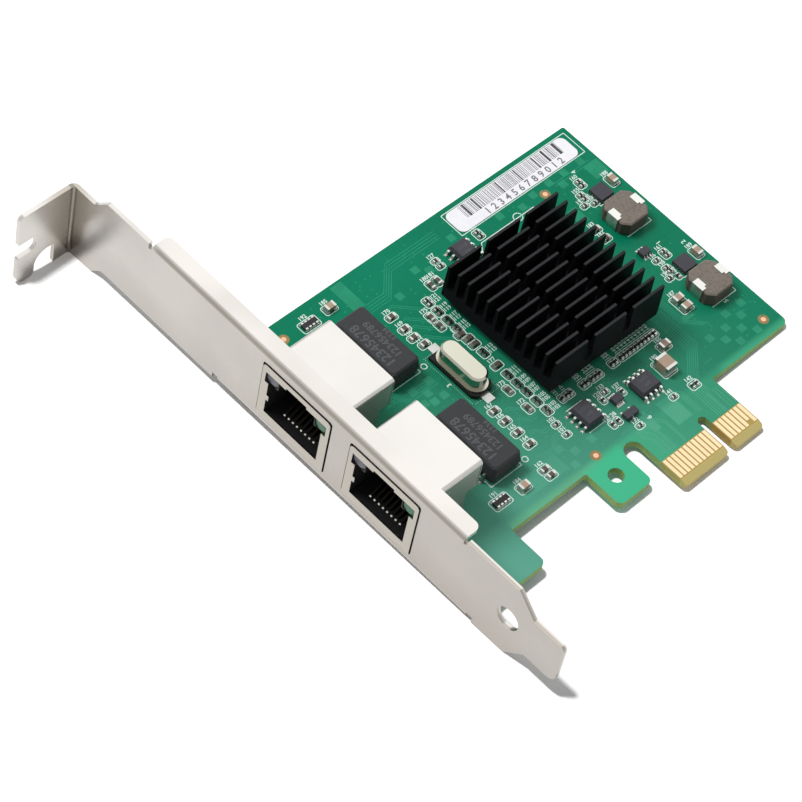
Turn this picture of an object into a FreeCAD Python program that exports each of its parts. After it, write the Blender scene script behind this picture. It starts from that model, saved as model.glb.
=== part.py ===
import FreeCAD, Part
import math
import os

# Network interface card: a board with an edge connector, two network jacks and a
# full-height mounting bracket, with the small parts that are soldered to its face.
#
# Millimetres.  X runs from the bracket's outer face into the card, Y runs from the
# tip of the edge connector towards the bracket's ear, Z is up from the component face.

V = FreeCAD.Vector
TOLERANCE = 1e-6
PAST = 1.0                 # how far a cutter runs past the face it cuts

# ---- circuit board ---------------------------------------------------------------
BOARD_T = 1.57
BOARD_LEFT = 1.3
BOARD_RIGHT = 86.2
BOARD_TOP = 68.9
BOARD_EDGE = 12.5          # lower edge beside the connector tabs
BOARD_CORNER_R = 1.2
INNER_CORNER_R = 0.4
FOOT_RIGHT = 15.9          # foot beside the bracket
FOOT_EDGE = 4.3
LOBE_LEFT = 34.0           # hook that latches the card in its slot
LOBE_RIGHT = 42.15
LOBE_EDGE = 4.3
LOBE_HOLE_X = 37.9
LOBE_HOLE_Y = 9.05
LOBE_HOLE_R = 1.5

# ---- edge connector --------------------------------------------------------------
KEY_X = 58.05              # centre of the key notch
KEY_W = 1.9
KEY_TOP = 8.25
FINGERS_LEFT = 11
FINGERS_RIGHT = 7
FINGER_PITCH = 1.0
FINGER_W = 0.7
FINGER_BOTTOM = 1.6
FINGER_TOP = 5.9
FINGER_SHORT = 0.9         # the detect finger starts this much higher
FINGER_T = 0.04
TAB_SIDE = 0.55            # from an outer finger's centre to the side of its tab
TAB_CORNER_R = 0.7
BEVEL_LENGTH = 1.3
BEVEL_DEPTH = 0.45

# ---- mounting bracket ------------------------------------------------------------
SHEET_T = 0.86
BRACKET_LENGTH = 120.02
BRACKET_W = 18.42
BRACKET_TOP = 14.47        # component-side edge above the component face
TONGUE_TIP = -12.9
TONGUE_START = -1.8
TONGUE_INSET = 4.115
TONGUE_TOP_R = 1.0
TONGUE_BOTTOM_R = 2.0
NECK_LENGTH = 9.12         # narrow neck below the ear's top
NECK_SHIFT = 3.08
STEP_R = 0.6
BEND_R = 1.1               # outer radius of the flange bends
EAR_BEND_R = 1.36
BEND_EASE = 0.1
EAR_DEPTH = 12.1
EAR_CORNER_R = 1.2
EAR_SLOT_BOTTOM = 0.4
EAR_SLOT_W = 3.6
EAR_SLOT_END = 8.0         # distance of the slot's closed end from the outer face
EAR_SLOT_R = 1.2
LIP_R = 0.4
RELIEF_FAR = 8.1           # notch in the ear, from the outer face
RELIEF_NEAR = 3.6
RELIEF_TOP = -1.55
RELIEF_R = 3.0
HOOK_OUTER_R = 2.3
HOOK_INNER_R = 1.2
UPPER_FLANGE_START = 10.9
UPPER_FLANGE_TO_NECK = 11.4
FLANGE_DEPTH = 3.9
FLANGE_CORNER_R = 1.3
UPPER_RELIEF_W = 0.8
LOWER_FLANGE_START = 6.8
LOWER_FLANGE_INSET = 1.1   # from the board's far edge
LOWER_RELIEF_W = 1.3
LUG_REACH = 9.0
LUG_W = 5.6
LUG_CORNER_R = 1.0
BOSS_R = 2.5
BRACKET_HOLE_Y = -1.05
BRACKET_HOLE_R = 2.4

# ---- bracket screws --------------------------------------------------------------
SCREW_X = 5.4
SCREW_R = 1.45
SCREW_HOLE_GAP = 0.1
SCREW_HEAD_R = 2.7
SCREW_HEAD_H = 1.7
SCREW_HEAD_EDGE = 0.6
SCREW_RECESS = 0.2         # the screw ends this far inside its lug
CROSS_LENGTH = 2.8
CROSS_W = 0.6
CROSS_DEPTH = 0.9

# ---- network jacks ---------------------------------------------------------------
JACK_COUNT = 2
JACK_FIRST_Y = 28.85
JACK_PITCH = 21.1
JACK_W = 16.3
JACK_BOTTOM = -1.6         # the jacks sit low, in pockets of the board
JACK_TOP = 12.0
JACK_REAR = 14.7
JACK_PROUD = 0.2
WINDOW_GAP = 0.25
WINDOW_R = 0.6
POCKET_GAP = 0.15
SHIELD_T = 0.25
SHIELD_R = 0.8
SHIELD_REAR_NOTCH = 2.5
SHIELD_NOTCH_TOP = 5.2
SOLDER_EAR_X = 5.6
SOLDER_EAR_LENGTH = 3.2
SOLDER_EAR_W = 1.2
SHIELD_SEAM = 0.15         # gap between a side and the rear plate
PORT_SIDE = 1.7            # from the jack's side to its plug opening
PORT_BOTTOM = 0.1
PORT_SHOULDER = 7.8
LIGHT_ROW_SIDE = 0.8
LIGHT_ROW_TOP = 10.35
LATCH_W = 4.9
LATCH_BRIDGE = 1.15        # metal left between the latch opening and the shield's top
SPRING_REACH = 0.55
SPRING_BOTTOM = 3.4
SPRING_TOP = 4.7
HOUSING_REAR = 11.6
HOUSING_GAP = 0.05
PLUG_DEPTH = 10.4
LATCH_DEPTH = 6.5
CHANNEL_WALL = 0.25        # between the latch channel and a light
CONTACT_COUNT = 8
CONTACT_PITCH = 1.02
CONTACT_W = 0.36
CONTACT_T = 0.3
CONTACT_FRONT = 1.9
CONTACT_TIP_X = 8.6
CONTACT_TIP_Z = 3.7
CONTACT_FOOT_END = 14.2
CONTACT_SIDE_GAP = 0.09
GROOVE_FLOOR = -0.5
LIGHT_FRONT = 0.3
LIGHT_DEPTH = 3.4
LIGHT_W = 2.8
LIGHT_R = 1.1

# ---- leaded packages -------------------------------------------------------------
LEAD_PITCH = 1.27
LEAD_T = 0.22
LEAD_W = 0.42
PACKAGE_DRAFT = 0.3
PACKAGE_LIFT = 0.15
BAND_SHARE = 0.4           # height of the leads' band, as a share of the moulding
KNEE_SHARE = 0.35          # where a lead turns down, as a share of its reach
ANKLE_SHARE = 0.55         # where it turns level again
TRANSFORMER_X = 23.0
TRANSFORMER_YS = (28.45, 53.2)
TRANSFORMER_W = 7.1
TRANSFORMER_LENGTH = 15.1
TRANSFORMER_H = 4.1
TRANSFORMER_SPAN = 9.6
TRANSFORMER_LEAD_COUNT = 10
TRANSFORMER_CUT = 0.5
TRANSFORMER_EDGE = 0.35
SMALL_CHIP_W = 3.9
SMALL_CHIP_LENGTH = 4.9
SMALL_CHIP_H = 1.6
SMALL_CHIP_SPAN = 6.0
SMALL_CHIP_LEAD_COUNT = 4
SMALL_CHIP_CUT = 0.1
SMALL_CHIP_EDGE = 0.1

# ---- heatsink and controller chip ------------------------------------------------
SINK_X = 53.65
SINK_Y = 41.1
SINK_LENGTH = 27.1
SINK_W = 26.9
SINK_BASE_T = 2.5
SINK_TOP = 9.9
FIN_ROW_COUNT = 12
FIN_COLUMN_COUNT = 3
FIN_ROOT_T = 0.8
FIN_TIP_T = 0.5
FIN_GAP = 1.8              # cross channels between the columns of fins
CARRIER_SIZE = 23.0
CARRIER_T = 0.6
SOLDER_T = 0.3
SOLDER_ROW_COUNT = 4
SOLDER_PAD = 2.0
SOLDER_PITCH = 5.6
CAP_SIZE = 19.0
CAP_T = 0.7
PAD_T = 0.3

# ---- crystal ---------------------------------------------------------------------
CRYSTAL_X = 32.0
CRYSTAL_Y = 40.9
CRYSTAL_LEAD_T = 0.15
CRYSTAL_LEAD_W = 1.9
CRYSTAL_LEAD_SPAN = 15.0
CRYSTAL_LEAD_INSIDE = 6.6
CRYSTAL_BASE_W = 5.0
CRYSTAL_BASE_LENGTH = 11.4
CRYSTAL_BASE_T = 0.7
CRYSTAL_BASE_CUT = 0.9
CRYSTAL_RIM_W = 4.65
CRYSTAL_RIM_LENGTH = 11.05
CRYSTAL_RIM_T = 0.4
CRYSTAL_CAN_W = 3.8
CRYSTAL_CAN_LENGTH = 10.2
CRYSTAL_TOP = 4.1
CRYSTAL_EDGE = 0.35

# ---- power inductors and regulator chips -----------------------------------------
INDUCTORS = ((79.7, 47.25), (80.25, 26.8))
CORE_SIZE = 6.9
CORE_TOP = 3.0
CORE_CUT = 1.3
CORE_EDGE = 0.25
CLIP_W = 2.5
CLIP_T = 0.15
CLIP_REACH = 1.5
CLIP_NOTCH = 0.5
REGULATORS = ((80.4, 53.6), (80.6, 32.9))
REGULATOR_SIZE = 3.2
REGULATOR_H = 0.9
REGULATOR_PAD_COUNT = 5
REGULATOR_PAD_PITCH = 0.55
REGULATOR_PAD_W = 0.28
REGULATOR_PAD_T = 0.2
REGULATOR_PAD_OUT = 0.12

# ---- label -----------------------------------------------------------------------
LABEL_LEFT = 53.8
LABEL_RIGHT = 84.3
LABEL_BOTTOM = 62.5
LABEL_TOP = 67.6
LABEL_T = 0.1
LABEL_R = 1.3

# ---- places of the small parts ---------------------------------------------------
# Each package is named for its job and has its centre and the side its leads leave by.
SMALL_CHIPS = {
    "memory_chip": (42.6, 20.9, "x"),
    "supervisor_chip": (55.2, 18.9, "y"),
    "power_chip": (50.8, 59.1, "x"),
}
# Chip parts: length, width, height and the share of the length under each metal end.
TINY = (1.0, 0.5, 0.4, 0.25)
SMALL = (1.6, 0.8, 0.5, 0.22)
MEDIUM = (2.0, 1.25, 1.1, 0.22)
LARGE = (3.2, 2.5, 2.0, 0.17)

RESISTOR_COLUMN_X = 38.2   # pairs beside the heatsink, one above the other
RESISTOR_PAIR_YS = (55.45, 52.95, 50.45, 48.15, 41.6, 35.6, 33.25, 30.95, 28.5, 26.0)
RESISTOR_ROW_Y = 25.8      # row below the heatsink
RESISTOR_ROW_GROUPS = ((46.9, 2), (49.2, 3), (54.2, 2), (56.6, 10))
TINY_PITCH = 0.95

SMALL_RESISTORS = (
    (37.3, 22.9, "x"), (37.3, 20.3, "x"), (57.8, 14.1, "x"), (48.7, 13.6, "x"),
    (45.6, 61.2, "x"), (45.6, 59.8, "x"), (56.0, 61.2, "x"), (56.0, 60.2, "x"),
    (45.1, 16.7, "y"), (46.4, 16.7, "y"), (49.0, 22.4, "x"), (47.4, 21.4, "y"),
    (51.4, 20.6, "y"), (62.1, 13.6, "y"), (63.1, 13.6, "y"), (42.0, 26.1, "y"),
    (43.2, 26.1, "y"), (44.1, 26.1, "y"), (79.0, 58.0, "x"), (79.0, 57.0, "x"),
    (77.1, 55.6, "x"), (77.1, 54.6, "x"), (76.0, 53.4, "x"), (77.9, 52.7, "x"),
    (77.5, 34.4, "x"), (77.5, 33.5, "x"), (76.3, 32.4, "x"), (77.9, 31.9, "y"),
    (79.7, 37.3, "x"), (79.7, 36.3, "x"), (77.3, 36.6, "x"),
)
SMALL_CAPACITORS = (
    (30.8, 57.1, "x"), (30.8, 53.8, "x"), (30.8, 51.5, "x"), (31.3, 49.3, "x"),
    (30.8, 31.6, "x"), (30.8, 28.9, "x"), (30.8, 25.9, "x"), (30.8, 22.9, "x"),
    (38.2, 45.4, "x"), (38.2, 43.9, "x"), (38.1, 38.2, "x"), (36.2, 52.8, "y"),
    (36.2, 50.5, "y"), (35.9, 33.2, "y"), (35.9, 28.4, "y"), (29.0, 17.6, "x"),
    (29.1, 16.1, "x"), (41.2, 57.8, "y"), (42.8, 57.8, "y"), (37.7, 46.9, "x"),
    (73.6, 45.8, "x"), (73.6, 48.3, "x"),
)
MEDIUM_CAPACITORS = (
    (23.6, 65.2, "x"), (23.6, 17.3, "x"), (64.4, 22.7, "x"), (73.8, 28.2, "x"),
    (73.8, 26.1, "x"), (84.2, 54.5, "y"), (84.4, 33.4, "y"),
)
LARGE_CAPACITORS = ((61.1, 19.5, "y"),)

NETWORKS = ((18.5, 64.9), (18.5, 17.7))
NETWORK_LENGTH = 3.2
NETWORK_W = 1.6
NETWORK_H = 0.55
NETWORK_COUNT = 4
NETWORK_PITCH = 0.8
NETWORK_END_W = 0.5
NETWORK_END_DEPTH = 0.3

# Small three- to eight-lead packages: centre, body along X and Y, leads below and above.
SMALL_PACKAGES = (
    (48.9, 16.3, 2.9, 1.4, 1, 2),
    (49.2, 19.9, 2.1, 1.5, 4, 4),
    (76.6, 39.2, 2.1, 1.4, 3, 3),
)
SMALL_PACKAGE_H = 1.0
SMALL_PACKAGE_LIFT = 0.1
SMALL_LEAD_T = 0.15
SMALL_LEAD_W = 0.28
SMALL_LEAD_OUT = 0.55
SMALL_LEAD_SPREAD = 0.65   # share of the body's length that a row of leads takes

# ---- sizes that follow from the ones above ---------------------------------------
BOARD_BACK = -BOARD_T
TAB_LEFT = KEY_X - KEY_W / 2 - 2 * TAB_SIDE - (FINGERS_LEFT - 1) * FINGER_PITCH
TAB_RIGHT = KEY_X + KEY_W / 2 + 2 * TAB_SIDE + (FINGERS_RIGHT - 1) * FINGER_PITCH
BRACKET_BOTTOM = BRACKET_TOP - BRACKET_W
NECK_TOP = BRACKET_TOP - NECK_SHIFT
NECK_BOTTOM = BRACKET_BOTTOM - NECK_SHIFT
EAR_TOP = TONGUE_TIP + BRACKET_LENGTH
NECK_START = EAR_TOP - NECK_LENGTH
UPPER_FLANGE_END = NECK_START - UPPER_FLANGE_TO_NECK
LOWER_FLANGE_END = BOARD_TOP - LOWER_FLANGE_INSET
EAR_UNDERSIDE = EAR_TOP - SHEET_T
BEND_ZONE = BEND_R + BEND_EASE
EAR_BEND_ZONE = EAR_BEND_R + BEND_EASE
LOWER_FLANGE_FACE = BRACKET_BOTTOM + SHEET_T
SCREW_YS = (LOWER_FLANGE_START + LUG_W / 2, LOWER_FLANGE_END - LUG_W / 2)
SCREW_HOLE_R = SCREW_R + SCREW_HOLE_GAP
JACK_YS = [JACK_FIRST_Y + JACK_PITCH * i for i in range(JACK_COUNT)]
JACK_FRONT = -JACK_PROUD
POCKET_X = JACK_REAR - SHIELD_REAR_NOTCH + POCKET_GAP
PORT_W = JACK_W - 2 * PORT_SIDE
LIGHT_ROW_W = JACK_W - 2 * LIGHT_ROW_SIDE
CHANNEL_W = LIGHT_ROW_W - 2 * (LIGHT_W + CHANNEL_WALL)
SINK_BOTTOM = SOLDER_T + CARRIER_T + CAP_T + PAD_T


# ---- building blocks -------------------------------------------------------------
def block(x0, x1, y0, y1, z0, z1):
    """Box between three pairs of limits."""
    return Part.makeBox(x1 - x0, y1 - y0, z1 - z0, V(x0, y0, z0))


def centred_block(x, y, length, width, z0, z1):
    """Box that stands on z0 with its middle at x, y."""
    return block(x - length / 2, x + length / 2, y - width / 2, y + width / 2, z0, z1)


def post(x, y, radius, z0, z1):
    """Upright cylinder."""
    return Part.makeCylinder(radius, z1 - z0, V(x, y, z0))


def rounded_wire(corners, place):
    """Closed wire through corners (u, v, radius), each rounded by a tangent arc."""
    bends = []
    for i, (u, v, radius) in enumerate(corners):
        corner = place(u, v)
        before = place(*corners[i - 1][:2]) - corner
        after = place(*corners[(i + 1) % len(corners)][:2]) - corner
        before.normalize()
        after.normalize()
        half = before.getAngle(after) / 2
        middle = before + after
        if radius == 0 or middle.Length < TOLERANCE:
            bends.append((corner, None, corner))
            continue
        middle.normalize()
        reach = radius / math.tan(half)
        depth = radius / math.sin(half) - radius
        bends.append((corner + before * reach, corner + middle * depth, corner + after * reach))
    edges = []
    for i, (start, middle, end) in enumerate(bends):
        last = bends[i - 1][2]
        if last.distanceToPoint(start) > TOLERANCE:
            edges.append(Part.LineSegment(last, start).toShape())
        if middle is not None:
            edges.append(Part.Arc(start, middle, end).toShape())
    return Part.Wire(edges)


def plate(corners, place, thickness):
    """Flat plate with a rounded outline; thickness is the vector it grows along."""
    return Part.Face(rounded_wire(corners, place)).extrude(thickness)


def flat(z):
    """Place an outline in a horizontal plane."""
    return lambda u, v: V(u, v, z)


def rounded_rectangle(x0, x1, y0, y1, radius):
    """Corners of a rectangle that all have one radius."""
    return [(x0, y0, radius), (x1, y0, radius), (x1, y1, radius), (x0, y1, radius)]


def octagon(length, width, cut, z):
    """Wire of a rectangle with cut corners about the origin."""
    u = length / 2
    v = width / 2
    points = [
        (-u, -v + cut), (-u + cut, -v), (u - cut, -v), (u, -v + cut),
        (u, v - cut), (u - cut, v), (-u + cut, v), (-u, v - cut),
    ]
    return rounded_wire([(a, b, 0) for a, b in points], flat(z))


def angle_strip(leg_u, leg_v, outer_radius, place, length):
    """Bent strip of sheet metal; u and v run along its legs from the outer corner."""
    corners = [
        (0, 0, outer_radius),
        (leg_u, 0, 0),
        (leg_u, SHEET_T, 0),
        (SHEET_T, SHEET_T, outer_radius - SHEET_T),
        (SHEET_T, leg_v, 0),
        (0, leg_v, 0),
    ]
    return plate(corners, place, length)


def fuse(solids):
    """One solid from pieces that touch or overlap."""
    return solids[0].multiFuse(solids[1:]).removeSplitter()


def turned(solid, x, y, along):
    """Copy of a solid made about the origin, set down at x, y along X or Y."""
    copy = solid.copy()
    if along == "y":
        copy.rotate(V(0, 0, 0), V(0, 0, 1), 90)
    copy.translate(V(x, y, 0))
    return copy


def save(name, solids):
    """Write one node as a STEP file."""
    shape = solids[0] if len(solids) == 1 else Part.makeCompound(solids)
    shape.exportStep("parts/" + name + ".step")


# ---- circuit board ---------------------------------------------------------------
def board_outline():
    """Corners of the board, from the foot along the connector and round the far side."""
    slot_r = (TAB_LEFT - LOBE_RIGHT) / 2
    key_left = KEY_X - KEY_W / 2
    key_right = KEY_X + KEY_W / 2
    return [
        (BOARD_LEFT, FOOT_EDGE, BOARD_CORNER_R),
        (FOOT_RIGHT, FOOT_EDGE, BOARD_CORNER_R),
        (FOOT_RIGHT, BOARD_EDGE, INNER_CORNER_R),
        (LOBE_LEFT, BOARD_EDGE, INNER_CORNER_R),
        (LOBE_LEFT, LOBE_EDGE, BOARD_CORNER_R),
        (LOBE_RIGHT, LOBE_EDGE, BOARD_CORNER_R),
        (LOBE_RIGHT, BOARD_EDGE, slot_r),
        (TAB_LEFT, BOARD_EDGE, slot_r),
        (TAB_LEFT, 0, TAB_CORNER_R),
        (key_left, 0, TAB_CORNER_R),
        (key_left, KEY_TOP, KEY_W / 2),
        (key_right, KEY_TOP, KEY_W / 2),
        (key_right, 0, TAB_CORNER_R),
        (TAB_RIGHT, 0, TAB_CORNER_R),
        (TAB_RIGHT, BOARD_EDGE, INNER_CORNER_R),
        (BOARD_RIGHT, BOARD_EDGE, BOARD_CORNER_R),
        (BOARD_RIGHT, BOARD_TOP, INNER_CORNER_R),
        (BOARD_LEFT, BOARD_TOP, INNER_CORNER_R),
    ]


def bevel_cutter(face, inward):
    """Wedge that bevels the connector's tip on one face of the board."""
    beyond = BEVEL_LENGTH / 2
    slope = BEVEL_DEPTH / BEVEL_LENGTH
    section = [
        (BEVEL_LENGTH, face, 0),
        (BEVEL_LENGTH, face - inward * BOARD_T, 0),
        (-beyond, face - inward * BOARD_T, 0),
        (-beyond, face + inward * slope * (BEVEL_LENGTH + beyond), 0),
    ]
    start = TAB_LEFT - PAST
    return plate(section, lambda u, v: V(start, u, v), V(TAB_RIGHT + PAST - start, 0, 0))


def circuit_board():
    """Board with its connector bevels, jack pockets and round holes."""
    board = plate(board_outline(), flat(BOARD_BACK), V(0, 0, BOARD_T))
    cutters = [bevel_cutter(0, -1), bevel_cutter(BOARD_BACK, 1)]
    half_pocket = JACK_W / 2 + POCKET_GAP
    low = BOARD_BACK - PAST
    for y in JACK_YS:
        cutters.append(block(0, POCKET_X, y - half_pocket, y + half_pocket, low, PAST))
    for y in SCREW_YS:
        cutters.append(post(SCREW_X, y, SCREW_HOLE_R, low, PAST))
    cutters.append(post(LOBE_HOLE_X, LOBE_HOLE_Y, LOBE_HOLE_R, low, PAST))
    return board.cut(cutters)


def edge_contacts():
    """Gold fingers on both faces of the two connector tabs."""
    first = KEY_W / 2 + TAB_SIDE
    places = [(KEY_X - first - FINGER_PITCH * i, FINGER_BOTTOM) for i in range(FINGERS_LEFT)]
    places += [(KEY_X + first + FINGER_PITCH * i, FINGER_BOTTOM) for i in range(FINGERS_RIGHT)]
    detect_x = places[-2][0]
    places[-2] = (detect_x, FINGER_BOTTOM + FINGER_SHORT)
    fingers = []
    for x, bottom in places:
        for z in (0, BOARD_BACK - FINGER_T):
            fingers.append(block(x - FINGER_W / 2, x + FINGER_W / 2, bottom, FINGER_TOP, z, z + FINGER_T))
    return fingers


# ---- mounting bracket ------------------------------------------------------------
def bracket_face():
    """Flat face with its tongue, stepped neck, windows, round hole and bend reliefs."""
    tongue_top = BRACKET_TOP - TONGUE_INSET
    tongue_bottom = BRACKET_BOTTOM + TONGUE_INSET
    neck_end = EAR_TOP - EAR_BEND_ZONE
    outline = [
        (TONGUE_TIP, tongue_bottom, TONGUE_BOTTOM_R),
        (TONGUE_START - TONGUE_INSET, tongue_bottom, STEP_R),
        (TONGUE_START, BRACKET_BOTTOM, STEP_R),
        (NECK_START, BRACKET_BOTTOM, STEP_R),
        (NECK_START + NECK_SHIFT, NECK_BOTTOM, STEP_R),
        (neck_end, NECK_BOTTOM, 0),
        (neck_end, NECK_TOP, 0),
        (NECK_START + NECK_SHIFT, NECK_TOP, STEP_R),
        (NECK_START, BRACKET_TOP, STEP_R),
        (TONGUE_START, BRACKET_TOP, STEP_R),
        (TONGUE_START - TONGUE_INSET, tongue_top, STEP_R),
        (TONGUE_TIP, tongue_top, TONGUE_TOP_R),
    ]
    through = V(SHEET_T, 0, 0)
    face = plate(outline, lambda u, v: V(0, u, v), through)
    cutters = []
    half_window = JACK_W / 2 + WINDOW_GAP
    for y in JACK_YS:
        window = rounded_rectangle(y - half_window, y + half_window,
                                   JACK_BOTTOM - WINDOW_GAP, JACK_TOP + WINDOW_GAP, WINDOW_R)
        cutters.append(plate(window, lambda u, v: V(0, u, v), through))
    middle = (BRACKET_TOP + BRACKET_BOTTOM) / 2
    cutters.append(Part.makeCylinder(BRACKET_HOLE_R, SHEET_T, V(0, BRACKET_HOLE_Y, middle), V(1, 0, 0)))
    cutters.append(block(0, SHEET_T, UPPER_FLANGE_START - UPPER_RELIEF_W,
                         UPPER_FLANGE_END + UPPER_RELIEF_W, BRACKET_TOP - BEND_ZONE, BRACKET_TOP))
    cutters.append(block(0, SHEET_T, LOWER_FLANGE_START - LOWER_RELIEF_W,
                         LOWER_FLANGE_END + LOWER_RELIEF_W, BRACKET_BOTTOM, BRACKET_BOTTOM + BEND_ZONE))
    return face.cut(cutters)


def upper_flange():
    """Flange that stiffens the bracket over the jacks."""
    start = UPPER_FLANGE_START
    length = UPPER_FLANGE_END - start
    bend = angle_strip(BEND_ZONE, BEND_ZONE, BEND_R,
                       lambda u, v: V(u, start, BRACKET_TOP - v), V(0, length, 0))
    leaf = [
        (BEND_ZONE, start, 0),
        (FLANGE_DEPTH, start, FLANGE_CORNER_R),
        (FLANGE_DEPTH, start + length, FLANGE_CORNER_R),
        (BEND_ZONE, start + length, 0),
    ]
    return [bend, plate(leaf, flat(BRACKET_TOP - SHEET_T), V(0, 0, SHEET_T))]


def lower_flange():
    """Flange under the board, with a raised and tapped lug at each end."""
    start = LOWER_FLANGE_START
    end = LOWER_FLANGE_END
    bend = angle_strip(BEND_ZONE, BEND_ZONE, BEND_R,
                       lambda u, v: V(u, start, BRACKET_BOTTOM + v), V(0, end - start, 0))
    leaf = [
        (BEND_ZONE, start, 0),
        (LUG_REACH, start, LUG_CORNER_R),
        (LUG_REACH, start + LUG_W, LUG_CORNER_R),
        (FLANGE_DEPTH, start + LUG_W, INNER_CORNER_R),
        (FLANGE_DEPTH, end - LUG_W, INNER_CORNER_R),
        (LUG_REACH, end - LUG_W, LUG_CORNER_R),
        (LUG_REACH, end, LUG_CORNER_R),
        (BEND_ZONE, end, 0),
    ]
    pieces = [bend, plate(leaf, flat(BRACKET_BOTTOM), V(0, 0, SHEET_T))]
    for y in SCREW_YS:
        pieces.append(post(SCREW_X, y, BOSS_R, LOWER_FLANGE_FACE, BOARD_BACK))
    return pieces


def ear():
    """Ear that the computer's case screw holds down, with its slot and relief notch."""
    width = V(0, 0, NECK_TOP - NECK_BOTTOM)
    bend = angle_strip(EAR_BEND_ZONE, EAR_BEND_ZONE, EAR_BEND_R,
                       lambda u, v: V(SHEET_T - u, EAR_TOP - v, NECK_BOTTOM), width)
    inner = SHEET_T - EAR_BEND_ZONE
    slot_top = EAR_SLOT_BOTTOM + EAR_SLOT_W
    leaf = [
        (inner, NECK_TOP, 0),
        (-EAR_DEPTH, NECK_TOP, EAR_CORNER_R),
        (-EAR_DEPTH, slot_top, LIP_R),
        (-EAR_SLOT_END, slot_top, EAR_SLOT_R),
        (-EAR_SLOT_END, EAR_SLOT_BOTTOM, EAR_SLOT_R),
        (-EAR_DEPTH, EAR_SLOT_BOTTOM, LIP_R),
        (-EAR_DEPTH, NECK_BOTTOM, HOOK_OUTER_R),
        (-RELIEF_FAR, NECK_BOTTOM, HOOK_INNER_R),
        (-RELIEF_FAR, RELIEF_TOP, RELIEF_R),
        (-RELIEF_NEAR, RELIEF_TOP, LIP_R),
        (-RELIEF_NEAR, NECK_BOTTOM, LIP_R),
        (inner, NECK_BOTTOM, 0),
    ]
    return [bend, plate(leaf, lambda u, v: V(u, EAR_UNDERSIDE, v), V(0, SHEET_T, 0))]


def bracket():
    """Whole bracket, folded from one sheet."""
    sheet = fuse([bracket_face()] + upper_flange() + lower_flange() + ear())
    taps = [post(SCREW_X, y, SCREW_HOLE_R, BRACKET_BOTTOM - PAST, 0) for y in SCREW_YS]
    return sheet.cut(taps)


def bracket_screws():
    """Pan-head screws through the board into the lugs."""
    screws = []
    for y in SCREW_YS:
        head = post(SCREW_X, y, SCREW_HEAD_R, 0, SCREW_HEAD_H)
        rim = [edge for edge in head.Edges if edge.BoundBox.ZMin > SCREW_HEAD_H / 2]
        head = head.makeChamfer(SCREW_HEAD_EDGE, rim)
        shank = post(SCREW_X, y, SCREW_R, BRACKET_BOTTOM + SCREW_RECESS, 0)
        floor = SCREW_HEAD_H - CROSS_DEPTH
        cross = [
            centred_block(SCREW_X, y, CROSS_LENGTH, CROSS_W, floor, SCREW_HEAD_H),
            centred_block(SCREW_X, y, CROSS_W, CROSS_LENGTH, floor, SCREW_HEAD_H),
        ]
        screws.append(fuse([head, shank]).cut(cross))
    return screws


# ---- network jacks ---------------------------------------------------------------
def port_opening(y):
    """Outline of the shield's front opening: plug, lights, latch and side spring."""
    half_port = PORT_W / 2
    half_lights = LIGHT_ROW_W / 2
    half_latch = LATCH_W / 2
    latch_top = JACK_TOP - LATCH_BRIDGE
    spring = half_port - SPRING_REACH
    points = [
        (-half_port, PORT_BOTTOM),
        (half_port, PORT_BOTTOM),
        (half_port, SPRING_BOTTOM),
        (spring, SPRING_BOTTOM),
        (spring, SPRING_TOP),
        (half_port, SPRING_TOP),
        (half_port, PORT_SHOULDER),
        (half_lights, PORT_SHOULDER),
        (half_lights, LIGHT_ROW_TOP),
        (half_latch, LIGHT_ROW_TOP),
        (half_latch, latch_top),
        (-half_latch, latch_top),
        (-half_latch, LIGHT_ROW_TOP),
        (-half_lights, LIGHT_ROW_TOP),
        (-half_lights, PORT_SHOULDER),
        (-half_port, PORT_SHOULDER),
    ]
    return [(y + u, v, 0) for u, v in points]


def jack_block(y, inset, radius, front, rear):
    """Solid of the jack's section, smaller all round by inset, with rounded upper edges."""
    half = JACK_W / 2 - inset
    top = JACK_TOP - inset
    section = [(y - half, JACK_BOTTOM, 0), (y + half, JACK_BOTTOM, 0),
               (y + half, top, radius), (y - half, top, radius)]
    return plate(section, lambda u, v: V(front, u, v), V(rear - front, 0, 0))


def jack_shield(y):
    """Folded metal shield, open below, with solder ears bent out of its sides."""
    half = JACK_W / 2
    back = JACK_REAR - SHIELD_T
    ear_end = SOLDER_EAR_X + SOLDER_EAR_LENGTH
    shield = jack_block(y, 0, SHIELD_R, JACK_FRONT, JACK_REAR)
    cutters = [
        jack_block(y, SHIELD_T, SHIELD_R - SHIELD_T, JACK_FRONT + SHIELD_T, JACK_REAR - SHIELD_T),
        plate(port_opening(y), lambda u, v: V(JACK_FRONT, u, v), V(SHIELD_T, 0, 0)),
        block(JACK_REAR - SHIELD_REAR_NOTCH, JACK_REAR, y - half, y + half, JACK_BOTTOM, SHIELD_NOTCH_TOP),
        block(back - SHIELD_SEAM, back, y - half, y + half, SHIELD_NOTCH_TOP, JACK_TOP - SHIELD_R),
        block(SOLDER_EAR_X, ear_end, y - half, y + half, SHIELD_T, SHIELD_T + SOLDER_EAR_W),
    ]
    shield = shield.cut(cutters)
    ears = [block(SOLDER_EAR_X, ear_end, y + half - SHIELD_T, y + half + SOLDER_EAR_W, 0, SHIELD_T),
            block(SOLDER_EAR_X, ear_end, y - half - SOLDER_EAR_W, y - half + SHIELD_T, 0, SHIELD_T)]
    return fuse([shield] + ears)


def light_place(y, side):
    """Y limits of one light's pocket; side is -1 or 1."""
    outer = y + side * LIGHT_ROW_W / 2
    inner = outer - side * LIGHT_W
    return min(inner, outer), max(inner, outer)


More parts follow.
